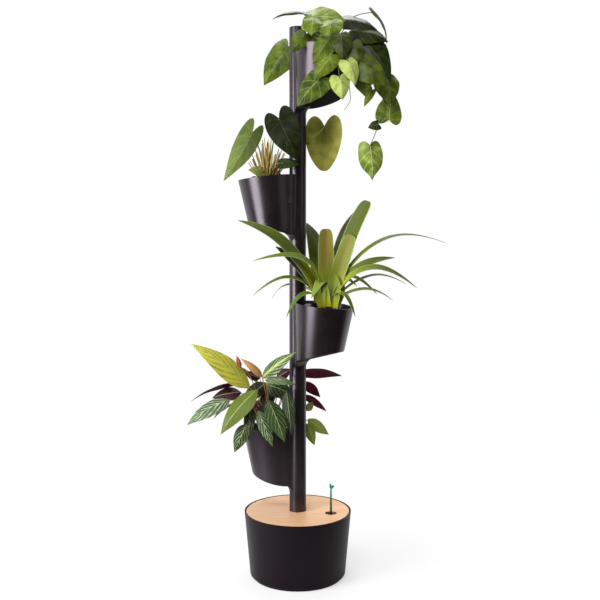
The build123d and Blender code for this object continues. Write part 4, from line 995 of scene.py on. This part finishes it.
def soft_box(name, place, target, width, height, power):
    """A studio soft box pointed at the planter."""
    deselect()
    bpy.ops.object.light_add(type="AREA", location=place)
    lamp = bpy.context.object
    lamp.name = name
    lamp.data.shape = "RECTANGLE"
    lamp.data.size = width
    lamp.data.size_y = height
    lamp.data.energy = power
    lamp.rotation_euler = (Vector(target) - Vector(place)).to_track_quat("-Z", "Y").to_euler()


def white_room():
    """A white backdrop behind the planter and a dimmer room in front, seen as plain white from every side."""
    world = bpy.data.worlds.new("white_room")
    bpy.context.scene.world = world
    world.use_nodes = True
    tree = world.node_tree
    tree.nodes.clear()
    way = add(tree, "TexCoord")["Generated"]
    behind = add(tree, "VectorMath", {"operation": "DOT_PRODUCT", 0: way, 1: (-0.45, 1.0, 0.0)})["Value"]
    back = scaled(tree, behind, -0.2, 0.65, 0.06, 1.0)
    seen = add(tree, "LightPath")
    mirrored = calc(tree, "MAXIMUM", seen["Is Glossy Ray"], seen["Is Transmission Ray"])
    room = between(tree, mirrored, 0.3, back)
    level = between(tree, seen["Is Camera Ray"], room, 1.0)
    add(tree, "OutputWorld", {"Surface": add(tree, "Background", {"Color": "#ffffff", "Strength": level})[0]})


def photograph_camera():
    """The photograph's view: in front of the post and above its middle, turned down a little."""
    deselect()
    place = (CAMERA_ASIDE, -CAMERA_BACK, CAMERA_HEIGHT)
    bpy.ops.object.camera_add(location=place, rotation=(math.pi / 2 - CAMERA_TILT, 0, 0))
    camera = bpy.context.object
    camera.data.sensor_width = SENSOR
    camera.data.lens = FOCAL_PIXELS / FRAME_PIXELS * SENSOR
    camera.data.shift_y = SHIFT_PIXELS / FRAME_PIXELS
    bpy.context.scene.camera = camera


dress_frame()
mix = potting_mix()
dress(mix, *(f"soil_{n}" for n in POT_HEADINGS))
crumb = crumb_blank()
for pot in POT_HEADINGS:
    soil_crumbs(pot, crumb, mix)
bpy.data.objects.remove(crumb)

blanks = {name: leaf_blank(name, outline) for name, outline in (
    ("heart", HEART), ("drip_heart", DRIP_HEART), ("deep_heart", DEEP_HEART), ("blunt_heart", BLUNT_HEART),
    ("strap", STRAP), ("cut_strap", CUT_STRAP), ("oval", OVAL))}
trailing_plant(blanks["heart"], blanks["drip_heart"])
broad_plant(blanks["deep_heart"], blanks["blunt_heart"])
strap_plant(blanks["strap"], blanks["cut_strap"])
patterned_plant(blanks["oval"])
for blank in blanks.values():
    bpy.data.objects.remove(blank)

white_floor()
white_room()
for soft_box_row in SOFT_BOXES:
    soft_box(*soft_box_row)
photograph_camera()
bpy.context.scene.view_settings.view_transform = "Standard"
